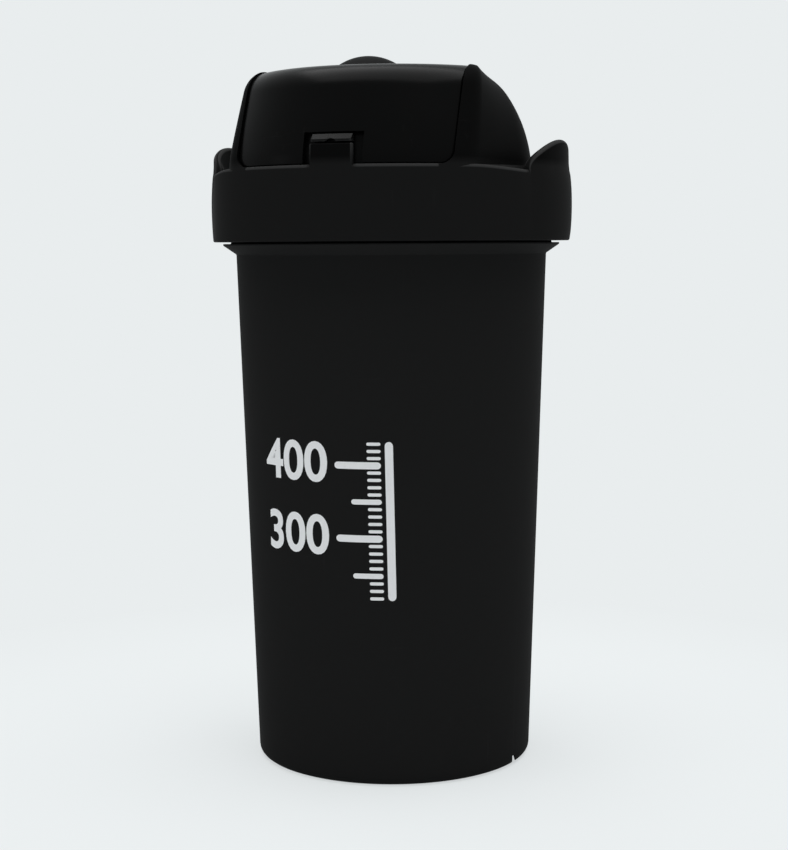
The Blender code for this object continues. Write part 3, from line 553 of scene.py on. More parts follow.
GASKET_BOTTOM = RIM + SEAT_GAP
GASKET_TOP = 164.3 * MM
GASKET_INNER = 42.95 * MM
GASKET_OUTER = 46.35 * MM
rib = 0.22 * MM
gasket_low = GASKET_BOTTOM + rib
thirds = [GASKET_INNER + (GASKET_OUTER - GASKET_INNER) * share for share in (0.22, 0.36, 0.64, 0.78)]
gasket = as_object("lid_seal", turned(rounded_profile([
    (GASKET_INNER, gasket_low, 0.45 * MM), (thirds[0] - rib, gasket_low, 0.1 * MM),
    ((thirds[0] + thirds[1]) / 2.0 - rib, GASKET_BOTTOM, 0.1 * MM),
    ((thirds[0] + thirds[1]) / 2.0 + rib, GASKET_BOTTOM, 0.1 * MM), (thirds[1] + rib, gasket_low, 0.1 * MM),
    (thirds[2] - rib, gasket_low, 0.1 * MM), ((thirds[2] + thirds[3]) / 2.0 - rib, GASKET_BOTTOM, 0.1 * MM),
    ((thirds[2] + thirds[3]) / 2.0 + rib, GASKET_BOTTOM, 0.1 * MM), (thirds[3] + rib, gasket_low, 0.1 * MM),
    (GASKET_OUTER, gasket_low, 0.45 * MM), (GASKET_OUTER, GASKET_TOP, 0.5 * MM),
    (GASKET_INNER, GASKET_TOP, 0.5 * MM)], 3), 160))
silicone = moulded_finish(
    "silicone_grey", colour=(0.11, 0.11, 0.115), worn_and_highlight_colour=(0.16, 0.16, 0.165), roughness=0.56,
    spread=0.1, grain_scale=1500.0, grain_depth=0.7, bump=0.4, marks=0.3, specular=0.4)
fitted(gasket, silicone, "gasket", "lid_gasket")


# Lid body.
# One black polypropylene moulding: threaded skirt with a grip wing on each side, flat deck, the two fixed
# cheeks that guard the flip cap, the drinking spout, the latch tongue at the front and two hinge lugs.

SKIRT_RADIUS = 50.5 * MM
SKIRT_INNER = 47.7 * MM
SKIRT_BOTTOM = 147.6 * MM
DECK_UNDERSIDE = GASKET_TOP + SEAT_GAP
DECK_TOP = 167.4 * MM
RIB_OUTER = 42.5 * MM
RIB_INNER = 40.5 * MM
WING_HEIGHT = 7.7 * MM
WING_HALF_SPAN = math.radians(24.0)
WING_WALL = 2.0 * MM
WING_BULGE = 0.9 * MM
WING_LEAN = 0.5 * MM
WING_FULLNESS = 2.05
WING_CREASE = 0.8 * MM
WING_CREASE_SPAN = math.radians(4.0)
EDGE_DIP = 1.1 * MM
EDGE_DIP_SPAN = math.radians(24.0)
DOME_TOP = 194.4 * MM
DOME_RADIUS = 40.0 * MM
DOME_CENTRE_DROP = 1.6 * MM
FRONT_LEAN = math.radians(17.4)
FRONT_EDGE_ROUND = 6.0 * MM
SIDE_EDGE_ROUND = 3.0 * MM
CORNER_HALF_WIDTH = 34.6 * MM
CORNER_DRAFT = 0.045
CORNER_ROUND = 4.0 * MM
CHEEK_ROOT = 8.0 * MM
CAP_FRONT_HALF_WIDTH = 29.9 * MM
CAP_REAR_HALF_WIDTH = 23.8 * MM
CAP_TAPER_START = 32.0 * MM
CAP_REACH = 59.4 * MM
CAP_BOTTOM = DECK_TOP + SEAT_GAP
CAP_CORNER_ROUND = 3.0 * MM
CAP_CORNER_REAR = 34.5 * MM
CAP_SINK_HEIGHT = 14.0 * MM
SEAM_GAP = 0.42 * MM
SPOUT_FORWARD = 19.0 * MM
SPOUT_RADIUS = 12.0 * MM
SPOUT_BORE = 10.0 * MM
SPOUT_TOP = 185.0 * MM
TONGUE_HALF_WIDTH = 5.8 * MM
TONGUE_TOP = DECK_TOP + 5.3 * MM
TONGUE_THICKNESS = 1.6 * MM
HINGE_BACK = 44.4 * MM
HINGE_Z = 173.2 * MM
KNUCKLE_RADIUS = 3.2 * MM
KNUCKLE_HALF_WIDTH = 10.0 * MM
LUG_WIDTH = 4.0 * MM
PIN_RADIUS = 1.25 * MM


def wing_share(bearing):
    """How far a bearing lies inside a wing: 0 at its ends, 1 at its middle."""
    offset = abs(abs(bearing) - math.pi / 2.0) / WING_HALF_SPAN
    if offset >= 1.0:
        return 0.0
    return (1.0 - offset ** WING_FULLNESS) ** (1.0 / WING_FULLNESS)


def skirt_bearings():
    """Bearings of the lid's sections, closer together towards the ends of the wings."""
    wing_steps, plain_steps = 56, 66
    plain = math.pi - 2.0 * WING_HALF_SPAN
    bearings = []
    for side in (math.pi / 2.0, -math.pi / 2.0):
        for i in range(wing_steps):
            bearings.append(side - WING_HALF_SPAN * math.cos(math.pi * i / wing_steps))
        bearings += [side + WING_HALF_SPAN + plain * i / plain_steps for i in range(plain_steps)]
    return [math.remainder(bearing, 2.0 * math.pi) for bearing in bearings]


def quarter(centre_r, centre_z, radius, first, last, steps=5):
    """Points of a round from one angle to another about a centre in the section."""
    turns = [math.radians(first + (last - first) * i / steps) for i in range(steps + 1)]
    return [(centre_r + radius * math.cos(t), centre_z + radius * math.sin(t)) for t in turns]


def skirt_section(bearing):
    """Half section of the lid at one bearing: skirt, wing, deck and the rib over the strainer's flange."""
    share = wing_share(bearing)
    offset = min(abs(abs(bearing) - math.pi / 2.0) / WING_HALF_SPAN, 1.0)
    fullness = 1.0 - offset ** 4
    away = (abs(abs(bearing) - math.pi / 2.0) - WING_HALF_SPAN) / WING_CREASE_SPAN
    crease = WING_CREASE * math.exp(-away * away)
    near = min(max(1.0 - abs(away * WING_CREASE_SPAN) / EDGE_DIP_SPAN, 0.0), 1.0)
    dip = EDGE_DIP * near * near * (3.0 - 2.0 * near)
    height = WING_HEIGHT * share
    top = DECK_TOP + height - dip

    def wall(z):
        up = (z - SKIRT_BOTTOM) / (DECK_TOP - SKIRT_BOTTOM)
        bulge = WING_BULGE * fullness * math.sqrt(math.sin(math.pi * max(min(up, 1.0), 0.0)))
        lean = WING_LEAN * share * max(up - 0.7, 0.0) ** 2
        fade = max(min((up - 0.5) * 2.0, 1.0), 0.0)
        return SKIRT_RADIUS + bulge - lean - crease * fade * fade * (3.0 - 2.0 * fade)

    edge = 0.95 * MM
    inside = min(0.95 * MM, height / 2.0)
    foot = min(1.2 * MM, height / 3.0)
    section = [(SKIRT_INNER, SKIRT_BOTTOM + 0.5 * MM), (SKIRT_INNER + 0.5 * MM, SKIRT_BOTTOM)]
    low = SKIRT_BOTTOM + 0.5 * MM
    section += quarter(wall(low) - 0.5 * MM, low, 0.5 * MM, -90.0, 0.0)
    high = top - edge
    section += [(wall(low + (high - low) * i / 14), low + (high - low) * i / 14) for i in range(1, 14)]
    crown = wall(high)
    section += quarter(crown - edge, high, edge, 0.0, 90.0)
    inner = crown - WING_WALL
    section += quarter(inner + inside, top - inside, inside, 90.0, 180.0)
    root = SKIRT_RADIUS - WING_CREASE - WING_WALL - 0.2 * MM
    section += quarter(root - foot, DECK_TOP + foot, foot, 0.0, -90.0)
    section += [(0.0, DECK_TOP), (0.0, DECK_UNDERSIDE), (RIB_INNER, DECK_UNDERSIDE),
                (RIB_INNER, FLANGE_TOP + SEAT_GAP), (RIB_OUTER, FLANGE_TOP + SEAT_GAP),
                (RIB_OUTER, DECK_UNDERSIDE), (SKIRT_INNER, DECK_UNDERSIDE)]
    return [Vector((r * math.sin(bearing), -r * math.cos(bearing), z)) for r, z in section]


def front_radius(z):
    """Radius of the housing's front: upright where it grows out of the skirt, then leaning back."""
    soft = 0.8 * MM
    rise = z - DECK_TOP - 3.0 * soft
    bend = soft * math.log(1.0 + math.exp(min(rise / soft, 60.0)))
    lean = (DOME_TOP - DECK_TOP) * math.tan(FRONT_LEAN) / (DOME_TOP - DECK_TOP - 3.0 * soft)
    sunk = 0.18 * MM * max(min((DECK_TOP - 0.8 * MM - z) / (1.6 * MM), 1.0), 0.0)
    return SKIRT_RADIUS + 0.03 * MM - bend * lean - sunk


def housing_outline(z, rounding, inset, sunk):
    """Plan of the housing at a height: front arc, rounded front corners, straight sides and round back."""
    up = max(z - DECK_TOP, 0.0)
    set_back = sunk * max(1.0 - up / CAP_SINK_HEIGHT, 0.0) ** 2
    front = front_radius(z) - FRONT_EDGE_ROUND * rounding - inset - set_back
    dome = math.sqrt(DOME_RADIUS ** 2 - (up + DOME_CENTRE_DROP) ** 2) - SIDE_EDGE_ROUND * rounding - inset
    corner = CORNER_HALF_WIDTH - up * CORNER_DRAFT - SIDE_EDGE_ROUND * rounding - inset
    corner_bearing = math.asin(corner / front)
    tangent_bearing = corner_bearing + math.acos(dome / front)

    def at(radius, bearing):
        return Vector((radius * math.sin(bearing), -radius * math.cos(bearing)))

    tip = at(front, corner_bearing)
    side_end = at(dome, tangent_bearing)
    arc_end_bearing = corner_bearing - CORNER_ROUND / front
    side_start = tip + (side_end - tip).normalized() * CORNER_ROUND
    arc_end = at(front, arc_end_bearing)
    half = [at(front, arc_end_bearing * i / 30) for i in range(30)]
    for i in range(10):
        t = i / 10
        half.append(arc_end * (1 - t) ** 2 + tip * 2 * t * (1 - t) + side_start * t ** 2)
    half += [side_start.lerp(side_end, i / 8) for i in range(8)]
    half += [at(dome, tangent_bearing + (math.pi - tangent_bearing) * i / 36) for i in range(37)]
    return half + [Vector((-point.x, point.y)) for point in reversed(half[1:-1])]


def housing_solid(inset, drop, bottom, below=0.0, sunk=0.0):
    """The housing's form, set in from its sides, lowered at its top and set back at its front's foot."""
    start = DOME_TOP - FRONT_EDGE_ROUND
    levels = [(bottom + drop, 0.0)]
    if below:
        levels += [(DECK_TOP - below + below * i / 6, 0.0) for i in range(1, 6)]
    levels += [(DECK_TOP + (start - DECK_TOP) * i / 22, 0.0) for i in range(1, 22)]
    for i in range(13):
        turn = math.pi / 2.0 * i / 12
        levels.append((start + FRONT_EDGE_ROUND * math.sin(turn), 1.0 - math.cos(turn)))
    loops = []
    for z, rounding in levels:
        loops.append([Vector((p.x, p.y, z - drop)) for p in housing_outline(z, rounding, inset, sunk)])
    return bridged(loops, closed=False)


def strip_edge(margin):
    """One long edge of the strip that the flip cap takes between the cheeks, from front to back."""
    front = CAP_FRONT_HALF_WIDTH - margin
    rear = CAP_REAR_HALF_WIDTH - margin
    return [(front, -CAP_REACH), (front, -CAP_TAPER_START), (rear, CAP_REACH)]


def outside_corner(sign, gap, bottom):
    """Bar along the cap's lower front corner that fills the space outside its round."""
    radius = CAP_CORNER_ROUND + gap
    middle_x = CAP_FRONT_HALF_WIDTH - CAP_CORNER_ROUND
    middle_z = CAP_BOTTOM + CAP_CORNER_ROUND
    side = CAP_FRONT_HALF_WIDTH + SEAM_GAP + 1.0 * MM
    turns = [math.pi / 2.0 * (i / 10 - 1.0) for i in range(11)]
    outline = [(middle_x + radius * math.cos(t), middle_z + radius * math.sin(t)) for t in turns]
    outline += [(side, middle_z), (side, bottom), (middle_x, bottom)]
    ends = (-CAP_REACH, -CAP_CORNER_REAR - gap)
    return bridged([[Vector((sign * x, y, z)) for x, z in outline] for y in ends], closed=False)


def arc_panel(half_width, heights, outer_radius, inner_radius, steps=24):
    """A block at the front of the lid that follows its round plan; the radii are functions of height."""
    loops = []
    for z in heights:
        xs = [half_width * (2.0 * i / steps - 1.0) for i in range(steps + 1)]
        front = [Vector((x, -math.sqrt(outer_radius(z) ** 2 - x * x), z)) for x in xs]
        back = [Vector((x, -math.sqrt(inner_radius(z) ** 2 - x * x), z)) for x in reversed(xs)]
        loops.append(front + back)
    return bridged(loops, closed=False)


def plate_along_x(outline, left, right):
    return bridged([[Vector((x, y, z)) for y, z in outline] for x in (left, right)], closed=False)


def tongue_front(z):
    """Radius of the latch tongue's front, which runs out into the skirt's face below the deck."""
    sunk = max(min((DECK_TOP - 0.6 * MM - z) / (1.6 * MM), 1.0), 0.0)
    return SKIRT_RADIUS + 0.02 * MM - 0.12 * MM * sunk


def half_round(start):
    """Rounded end of a hinge lug or knuckle, as half a circle from an angle."""
    turns = [start + math.pi * i / 24 for i in range(25)]
    return [(HINGE_BACK + KNUCKLE_RADIUS * math.cos(t), HINGE_Z + KNUCKLE_RADIUS * math.sin(t))
            for t in turns]


def pin_bore(radius, reach):
    """A plain round bar along the hinge's axis."""
    turns = [2.0 * math.pi * i / 40 for i in range(40)]
    ring = [(HINGE_BACK + radius * math.cos(t), HINGE_Z + radius * math.sin(t)) for t in turns]
    return plate_along_x(ring, -reach, reach)


def rubbed_edges(item, above):
    """Mark a piece's small rounds above a height for a painted highlight that pales them as if they caught
    the light.
    """
    shell = bmesh.new()
    shell.from_mesh(item.data)
    marks = item.data.attributes.new("painted_edge_highlight", "FLOAT", "POINT")
    for edge in shell.edges:
        bend = math.degrees(edge.calc_face_angle_signed(0.0))
        largest = max(face.calc_area() for face in edge.link_faces)
        if not 12.0 < bend < 40.0 or largest > 2.0 * MM * MM or edge.calc_length() < 0.25 * MM:
            continue
        for vert in edge.verts:
            in_corner = min(other.calc_face_angle_signed(0.0) for other in vert.link_edges) < -0.3
            if vert.co.z > above and not in_corner:
                mark = marks.data[vert.index]
                mark.value = max(mark.value, min((bend - 12.0) / 5.0, 1.0))
    shell.free()
    return item


lid_sections = [skirt_section(bearing) for bearing in skirt_bearings()]
lid = as_object("lid_moulding", bridged(lid_sections, closed=True))
for sign in (1.0, -1.0):
    cheek = as_object("cheek", housing_solid(0.0, 0.0, DECK_TOP - CHEEK_ROOT, CHEEK_ROOT))
    far_side = [(CAP_REACH, CAP_REACH), (CAP_REACH, -CAP_REACH)]
    plan = [(sign * x, y) for x, y in strip_edge(-SEAM_GAP) + far_side]
    limit = as_object("limit", prism(plan, SKIRT_BOTTOM, DOME_TOP + 1.0 * MM))
    worked(limit, outside_corner(sign, SEAM_GAP, DECK_TOP - 3.0 * MM), "UNION")
    worked(cheek, limit, "INTERSECT")
    hollow_radius = SKIRT_INNER + 1.0 * MM
    hollow_top = DECK_TOP - 1.0 * MM
    hollow = rounded_profile([(0.0, SKIRT_BOTTOM, 0.0), (hollow_radius, SKIRT_BOTTOM, 0.0),
                              (hollow_radius, hollow_top, 0.0), (0.0, hollow_top, 0.0)])
    worked(cheek, turned(hollow, 96), "DIFFERENCE")
    eased(cheek, 0.7 * MM, 4, 42.0)
    worked(lid, cheek, "UNION")
spout_place = (0.0, -SPOUT_FORWARD)
worked(lid, turned(rounded_profile([
    (0.0, DECK_TOP - 1.0 * MM, 0.0), (SPOUT_RADIUS + 0.5 * MM, DECK_TOP - 1.0 * MM, 0.0),
    (SPOUT_RADIUS, DECK_TOP + 1.2 * MM, 1.2 * MM), (SPOUT_RADIUS, SPOUT_TOP, 0.9 * MM),
    (0.0, SPOUT_TOP, 0.0)]), 96, spout_place), "UNION")
worked(lid, turned(rounded_profile([
    (0.0, SKIRT_BOTTOM, 0.0), (SPOUT_BORE, SKIRT_BOTTOM, 0.0), (SPOUT_BORE, SPOUT_TOP - 0.4 * MM, 0.0),
    (SPOUT_BORE + 1.0 * MM, SPOUT_TOP + 0.6 * MM, 0.0),
    (0.0, SPOUT_TOP + 0.6 * MM, 0.0)]), 96, spout_place), "DIFFERENCE")
tongue_heights = [DECK_TOP - 2.4 * MM + 2.4 * MM * i / 6 for i in range(6)] + [TONGUE_TOP]
tongue = as_object("tongue", arc_panel(TONGUE_HALF_WIDTH, tongue_heights, tongue_front,
                                       lambda z: SKIRT_RADIUS - TONGUE_THICKNESS))
worked(lid, eased(tongue, 0.25 * MM, 1), "UNION")
inner_lug = KNUCKLE_HALF_WIDTH + SEAT_GAP
lug_foot = DECK_TOP - 1.0 * MM
for left in (inner_lug, -inner_lug - LUG_WIDTH):
    outline = [(HINGE_BACK - KNUCKLE_RADIUS, lug_foot), (HINGE_BACK + KNUCKLE_RADIUS, lug_foot)]
    outline += half_round(0.0)
    lug = eased(as_object("lug", plate_along_x(outline, left, left + LUG_WIDTH)), 0.35 * MM, 3)
    worked(lid, lug, "UNION")
worked(lid, pin_bore(PIN_RADIUS + SEAT_GAP, 16.0 * MM), "DIFFERENCE")
worked(lid, thread_ridge(SKIRT_INNER + 0.4 * MM, SKIRT_INNER - 1.2 * MM, THREAD_START + THREAD_PITCH / 2.0,
                         2.0 * MM, 0.8 * MM), "UNION")
satin_lid = moulded_finish(
    "satin_lid_black", colour=(0.0111, 0.011, 0.011), worn_and_highlight_colour=(0.032, 0.032, 0.032), roughness=0.48,
    spread=0.08, grain_scale=2600.0, grain_depth=0.7, bump=0.45, marks=0.2, specular=0.003)

# Above the deck the lid's base colour is painted near-black, a painted shade on the cheeks and wings, which
# the overhead box lights strongly.
lid_tree = satin_lid.node_tree
lid_place = lid_tree.nodes.new("ShaderNodeTexCoord").outputs["Object"]
lid_split = lid_tree.nodes.new("ShaderNodeSeparateXYZ")
lid_tree.links.new(lid_place, lid_split.inputs["Vector"])
above_deck = number_node(lid_tree, "SUBTRACT", lid_split.outputs["Z"], DECK_TOP)
painted_shade_share = number_node(lid_tree, "MULTIPLY", above_deck, 500.0, clamp=True)
painted_shade_black = lid_tree.nodes.new("ShaderNodeMix")
painted_shade_black.data_type = "RGBA"
painted_shade_black.inputs["A"].default_value = lid_tree.nodes["tint"].inputs["A"].default_value
painted_shade_black.inputs["B"].default_value = (0.0042, 0.0042, 0.0042, 1.0)
lid_tree.links.new(painted_shade_share, painted_shade_black.inputs["Factor"])
lid_tree.links.new(painted_shade_black.outputs["Result"], lid_tree.nodes["tint"].inputs["A"])
# The lid's small rounds get a painted highlight.
fitted(rubbed_edges(lid, DECK_TOP - 2.2 * MM), satin_lid, "lid", "lid_body")


# Hinge pin.
# Short length of drawn stainless wire with chamfered ends, pushed through the two lugs of the lid and the
# knuckle of the cap.

turns = [2.0 * math.pi * i / 48 for i in range(48)]
pin_half = inner_lug + LUG_WIDTH
chamfer = 0.3 * MM
stations = [(-pin_half, PIN_RADIUS - chamfer), (-pin_half + chamfer, PIN_RADIUS),
            (pin_half - chamfer, PIN_RADIUS), (pin_half, PIN_RADIUS - chamfer)]
pin_loops = []
for x, r in stations:
    pin_loops.append([Vector((x, HINGE_BACK + r * math.cos(t), HINGE_Z + r * math.sin(t))) for t in turns])
pin = as_object("hinge_wire", bridged(pin_loops, closed=False))
drawn_steel = bpy.data.materials.new("drawn_steel")
drawn_steel.use_nodes = True
steel_tree = drawn_steel.node_tree
steel = steel_tree.nodes["Principled BSDF"]
steel.inputs["Metallic"].default_value = 1.0
steel_lay = steel_tree.nodes.new("ShaderNodeMapping")
steel_lay.inputs["Scale"].default_value = (60.0, 2400.0, 2400.0)
steel_place = steel_tree.nodes.new("ShaderNodeTexCoord").outputs["Object"]
steel_tree.links.new(steel_place, steel_lay.inputs["Vector"])
draw_lines = noise_node(steel_tree, steel_lay.outputs["Vector"], 1.0, 2.0)
uneven_draw = number_node(steel_tree, "MULTIPLY", draw_lines, 0.22)
steel_tree.links.new(number_node(steel_tree, "ADD", uneven_draw, 0.2), steel.inputs["Roughness"])
steel_tint = steel_tree.nodes.new("ShaderNodeMix")
steel_tint.data_type = "RGBA"
steel_tint.inputs["A"].default_value = (0.5, 0.5, 0.51, 1.0)
steel_tint.inputs["B"].default_value = (0.62, 0.62, 0.63, 1.0)
steel_tree.links.new(draw_lines, steel_tint.inputs["Factor"])
steel_tree.links.new(steel_tint.outputs["Result"], steel.inputs["Base Color"])
fitted(pin, drawn_steel, "lid", "hinge_pin")


# Flip cap.
# Hollow hinged cap of gloss black polypropylene that fills the strip between the cheeks. Its front has a
# thumb pocket with a latch lip that snaps over the lid's tongue, and its back carries the hinge knuckle.

CAP_RECESS = 0.45 * MM
CAP_SINK = 0.6 * MM
CAP_WALL = 2.0 * MM
CAP_TOP = DOME_TOP - CAP_RECESS
CAP_CEILING = CAP_TOP - CAP_WALL
POCKET_HALF_WIDTH = 8.2 * MM
POCKET_TOP = DECK_TOP + 8.4 * MM
POCKET_DEPTH = 1.8 * MM
POCKET_BACKING = 1.9 * MM
LIP_HALF_WIDTH = 5.45 * MM
LIP_BOTTOM = TONGUE_TOP + 0.5 * MM
LIP_HEIGHT = 2.0 * MM
LIP_REACH = 3.0 * MM
LIP_DIP = 0.8 * MM
LIP_DIP_RADIUS = 1.9 * MM
PLUG_NECK = 5.0 * MM


def strip_plan(margin):
    right = strip_edge(margin)
    return right + [(-x, y) for x, y in reversed(right)]


def pocket_floor(z):
    """Radius of the thumb pocket's floor, which follows the lean of the cap's front."""
    return front_radius(max(z, DECK_TOP)) - CAP_RECESS - POCKET_DEPTH


def beyond_front(z):
    """A radius well outside the lid at every height, for cuts that come in from the front."""
    return SKIRT_RADIUS + 20.0 * MM


cap = as_object("flip_cap_moulding", housing_solid(CAP_RECESS, CAP_RECESS, CAP_BOTTOM, sunk=CAP_SINK))
worked(cap, prism(strip_plan(0.0), SKIRT_BOTTOM, DOME_TOP + 1.0 * MM), "INTERSECT")
for sign in (1.0, -1.0):
    worked(cap, outside_corner(sign, 0.0, CAP_BOTTOM - 1.0 * MM), "DIFFERENCE")
worked(cap, arc_panel(POCKET_HALF_WIDTH, (CAP_BOTTOM - 2.0 * MM, DECK_TOP + 3.0 * MM, POCKET_TOP),
                      beyond_front, pocket_floor), "DIFFERENCE")
eased(cap, 0.55 * MM, 4, 42.0)
cap_shell = CAP_RECESS + CAP_WALL
room = as_object("room", housing_solid(cap_shell, cap_shell, SKIRT_BOTTOM, CHEEK_ROOT))
worked(room, prism(strip_plan(CAP_WALL), SKIRT_BOTTOM - 4.0 * MM, DOME_TOP + 1.0 * MM), "INTERSECT")
worked(room, arc_panel(POCKET_HALF_WIDTH + 2.0 * MM, (SKIRT_BOTTOM - 5.0 * MM, POCKET_TOP + 2.0 * MM),
                       beyond_front, lambda z: pocket_floor(z) - POCKET_BACKING), "DIFFERENCE")
worked(cap, room, "DIFFERENCE")
lip_root = pocket_floor(LIP_BOTTOM)
lip_slope = LIP_BOTTOM + 0.6 * MM
lip = as_object("lip", arc_panel(LIP_HALF_WIDTH, (LIP_BOTTOM, lip_slope, LIP_BOTTOM + LIP_HEIGHT),
                                 lambda z: lip_root + LIP_REACH - max(z - lip_slope, 0.0) * 1.1,
                                 lambda z: lip_root - POCKET_BACKING / 2.0))
nail_turns = [2.0 * math.pi * i / 32 for i in range(32)]
nail_height = LIP_BOTTOM + LIP_DIP - LIP_DIP_RADIUS
nail_groove = [(LIP_DIP_RADIUS * math.cos(t), nail_height + LIP_DIP_RADIUS * math.sin(t))
               for t in nail_turns]
nail_ends = (-60.0 * MM, -lip_root - 0.6 * MM)
nail_loops = [[Vector((x, y, z)) for x, z in nail_groove] for y in nail_ends]
worked(lip, bridged(nail_loops, closed=False), "DIFFERENCE")
worked(cap, eased(lip, 0.3 * MM, 3), "UNION")
knuckle_rise = HINGE_Z - DECK_TOP + DOME_CENTRE_DROP + KNUCKLE_RADIUS
knuckle_wall = math.sqrt(DOME_RADIUS ** 2 - knuckle_rise ** 2) - CAP_RECESS - CAP_WALL / 2.0
knuckle_outline = [(knuckle_wall, HINGE_Z + KNUCKLE_RADIUS), (knuckle_wall, HINGE_Z - KNUCKLE_RADIUS)]
knuckle_outline += half_round(-math.pi / 2.0)
knuckle = as_object("knuckle", plate_along_x(knuckle_outline, -KNUCKLE_HALF_WIDTH, KNUCKLE_HALF_WIDTH))
worked(cap, eased(knuckle, 0.35 * MM, 3), "UNION")
worked(cap, pin_bore(PIN_RADIUS + SEAT_GAP, 16.0 * MM), "DIFFERENCE")
plug_hole = PLUG_NECK + SEAT_GAP
below_cap = CAP_CEILING - 1.0 * MM
above_cap = DOME_TOP + 1.0 * MM
worked(cap, turned(rounded_profile([
    (0.0, below_cap, 0.0), (plug_hole, below_cap, 0.0),
    (plug_hole, above_cap, 0.0), (0.0, above_cap, 0.0)]), 64, spout_place), "DIFFERENCE")
gloss_cap = moulded_finish(
    "gloss_cap_black", colour=(0.0024, 0.0024, 0.0024), worn_and_highlight_colour=(0.024, 0.024, 0.024),
    roughness=0.25, spread=0.06, grain_scale=900.0, grain_depth=0.3, bump=0.25, marks=0.25,
    specular=0.033)
# The cap's small rounds get a painted highlight.
fitted(rubbed_edges(cap, CAP_BOTTOM), gloss_cap, "flip_cap", "flip_cap")


# Spout plug.
# Soft black elastomer stopper: its tapered end closes the spout, a shoulder sits over the spout's rim, and
# its neck is pulled through the hole in the cap until the domed head snaps out on top.

PLUG_HEAD_RADIUS = 9.6 * MM
PLUG_HEAD_HEIGHT = 3.5 * MM
PLUG_BODY_RADIUS = 8.0 * MM
plug_end = SPOUT_TOP - 3.6 * MM
plug_shoulder = SPOUT_TOP + SEAT_GAP
shoulder_top = plug_shoulder + 2.0 * MM
body_top = CAP_CEILING - SEAT_GAP
plug_head = CAP_TOP + SEAT_GAP
dome_sphere = (PLUG_HEAD_RADIUS ** 2 + PLUG_HEAD_HEIGHT ** 2) / (2.0 * PLUG_HEAD_HEIGHT)
dome_sweep = math.asin(PLUG_HEAD_RADIUS / dome_sphere)
dome = []
for i in range(2, 25):
    turn = dome_sweep * (1.0 - i / 24)
    height = plug_head + PLUG_HEAD_HEIGHT - dome_sphere * (1.0 - math.cos(turn))
    dome.append((dome_sphere * math.sin(turn), height, 0.0))
plug_profile = rounded_profile([
    (0.0, plug_end, 0.0),
    (9.1 * MM, plug_end, 0.7 * MM),
    (SPOUT_BORE - SEAT_GAP, plug_shoulder, 0.0),
    (SPOUT_RADIUS - SEAT_GAP, plug_shoulder, 0.5 * MM),
    (SPOUT_RADIUS - SEAT_GAP, shoulder_top, 0.6 * MM),
    (PLUG_BODY_RADIUS, shoulder_top, 0.4 * MM),
    (PLUG_BODY_RADIUS, body_top, 0.5 * MM),
    (PLUG_NECK, body_top, 0.2 * MM),
    (PLUG_NECK, plug_head, 0.2 * MM),
    (PLUG_HEAD_RADIUS - 0.3 * MM, plug_head, 0.25 * MM),
    (PLUG_HEAD_RADIUS, plug_head + 0.35 * MM, 0.2 * MM),
    *dome], 5)
plug = as_object("spout_stopper", turned(plug_profile, 112, spout_place))
elastomer = moulded_finish(
    "elastomer_black", colour=(0.005, 0.005, 0.005), worn_and_highlight_colour=(0.014, 0.014, 0.014), roughness=0.5,
    spread=0.1, grain_scale=1400.0, grain_depth=0.8, bump=0.5, marks=0.4, specular=0.012)
fitted(plug, elastomer, "flip_cap", "spout_plug")


# Studio floor.
# Pale seamless floor that the bottle stands on; it fades into the backdrop's colour away from the bottle.

BACKDROP = (0.815, 0.847, 0.855)
EVEN_SHARE = 0.69


def seen_or_mirrored(tree):
    """1 where a surface is seen directly, in a reflection or through glass, 0 where it only gives light."""
    path = tree.nodes.new("ShaderNodeLightPath").outputs
    reflected = number_node(tree, "MAXIMUM", path["Is Glossy Ray"], path["Is Transmission Ray"])
    return number_node(tree, "MAXIMUM", path["Is Camera Ray"], reflected)


floor_shell = bmesh.new()
bmesh.ops.create_circle(floor_shell, cap_ends=True, segments=96, radius=6.0)
floor = as_object("floor", floor_shell)
pale_floor = bpy.data.materials.new("pale_floor")
pale_floor.use_nodes = True
floor_tree = pale_floor.node_tree
floor_tree.nodes.clear()
floor_out = floor_tree.nodes.new("ShaderNodeOutputMaterial")
lit = floor_tree.nodes.new("ShaderNodeBsdfDiffuse")
lit.inputs["Color"].default_value = (*BACKDROP, 1.0)
even = floor_tree.nodes.new("ShaderNodeEmission")
even.inputs["Color"].default_value = (*BACKDROP, 1.0)
floor_mix = floor_tree.nodes.new("ShaderNodeMixShader")
floor_place = floor_tree.nodes.new("ShaderNodeTexCoord").outputs["Object"]
floor_length = floor_tree.nodes.new("ShaderNodeVectorMath")
floor_length.operation = "LENGTH"
floor_tree.links.new(floor_place, floor_length.inputs[0])
past_foot = number_node(floor_tree, "SUBTRACT", floor_length.outputs["Value"], 0.05)
away = number_node(floor_tree, "MULTIPLY", past_foot, 6.0, clamp=True)
growth = number_node(floor_tree, "MULTIPLY", away, 1.0 - EVEN_SHARE)
evenness = number_node(floor_tree, "ADD", growth, EVEN_SHARE)
shown = number_node(floor_tree, "MULTIPLY", evenness, seen_or_mirrored(floor_tree))
floor_tree.links.new(shown, floor_mix.inputs["Fac"])
floor_tree.links.new(lit.outputs["BSDF"], floor_mix.inputs[1])
floor_tree.links.new(even.outputs["Emission"], floor_mix.inputs[2])
floor_tree.links.new(floor_mix.outputs["Shader"], floor_out.inputs["Surface"])
floor.data.materials.append(pale_floor)


# Backdrop and lamps.
# Pale backdrop colour all round, which shines on the bottle at part of its strength, one soft box overhead
# and a weak low fill on the left.

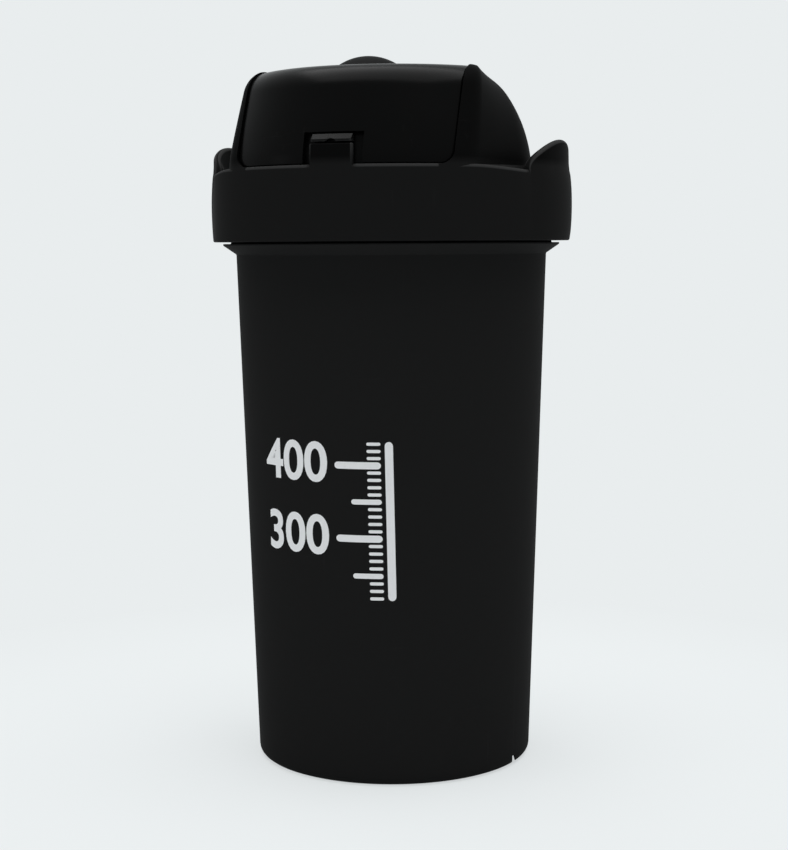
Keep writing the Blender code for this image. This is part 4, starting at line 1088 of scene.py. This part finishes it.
ROOM_SHARE = 0.3
scene = bpy.context.scene
world = bpy.data.worlds.new("studio")
scene.world = world
world.use_nodes = True
sky = world.node_tree
backdrop = sky.nodes["Background"]
backdrop.inputs["Color"].default_value = (*BACKDROP, 1.0)
brighter = number_node(sky, "MULTIPLY", seen_or_mirrored(sky), 1.0 - ROOM_SHARE)
sky.links.new(number_node(sky, "ADD", brighter, ROOM_SHARE), backdrop.inputs["Strength"])


def soft_box(name, place, aim, width, depth, power):
    lamp = bpy.data.lights.new(name, "AREA")
    lamp.shape = "RECTANGLE"
    lamp.size = width
    lamp.size_y = depth
    lamp.energy = power
    item = bpy.data.objects.new(name, lamp)
    item.location = place
    item.rotation_mode = "QUATERNION"
    item.rotation_quaternion = (Vector(aim) - Vector(place)).to_track_quat("-Z", "Y")
    scene.collection.objects.link(item)
    return item


soft_box("top_box", (0.03, 0.05, 1.5), (0.03, 0.05, 0.0), 1.8, 1.6, 32.0)
soft_box("left_fill", (-1.2, -0.8, 0.35), (0.0, 0.0, 0.12), 0.3, 0.5, 0.4)


# Camera.
# A short telephoto view from a little right of the latch, about level with the lower edge of the lid.

camera_azimuth = math.radians(18.0)
camera_pitch = math.radians(-5.9)
camera_roll = math.radians(-0.36)
camera_yaw = math.radians(-0.055)
camera_distance = 0.5
camera_height = 0.1465
focal_pixels = 1740.0
frame_pixels = 850.0
lens = bpy.data.cameras.new("view")
lens.sensor_width = 36.0
lens.sensor_fit = "AUTO"
lens.lens = focal_pixels * lens.sensor_width / frame_pixels
heading = camera_azimuth + camera_yaw
forward = Vector((-math.sin(heading) * math.cos(camera_pitch), math.cos(heading) * math.cos(camera_pitch),
                  math.sin(camera_pitch)))
level = Vector((math.cos(heading), math.sin(heading), 0.0))
upward = level.cross(forward)
right_axis = level * math.cos(camera_roll) + upward * math.sin(camera_roll)
up_axis = upward * math.cos(camera_roll) - level * math.sin(camera_roll)
view = bpy.data.objects.new("view", lens)
stand = Vector((math.sin(camera_azimuth) * camera_distance,
                -math.cos(camera_azimuth) * camera_distance, camera_height))
axes = Matrix((right_axis, up_axis, -forward)).transposed().to_4x4()
view.matrix_world = Matrix.Translation(stand) @ axes
scene.collection.objects.link(view)
scene.camera = view
scene.view_settings.view_transform = "Standard"
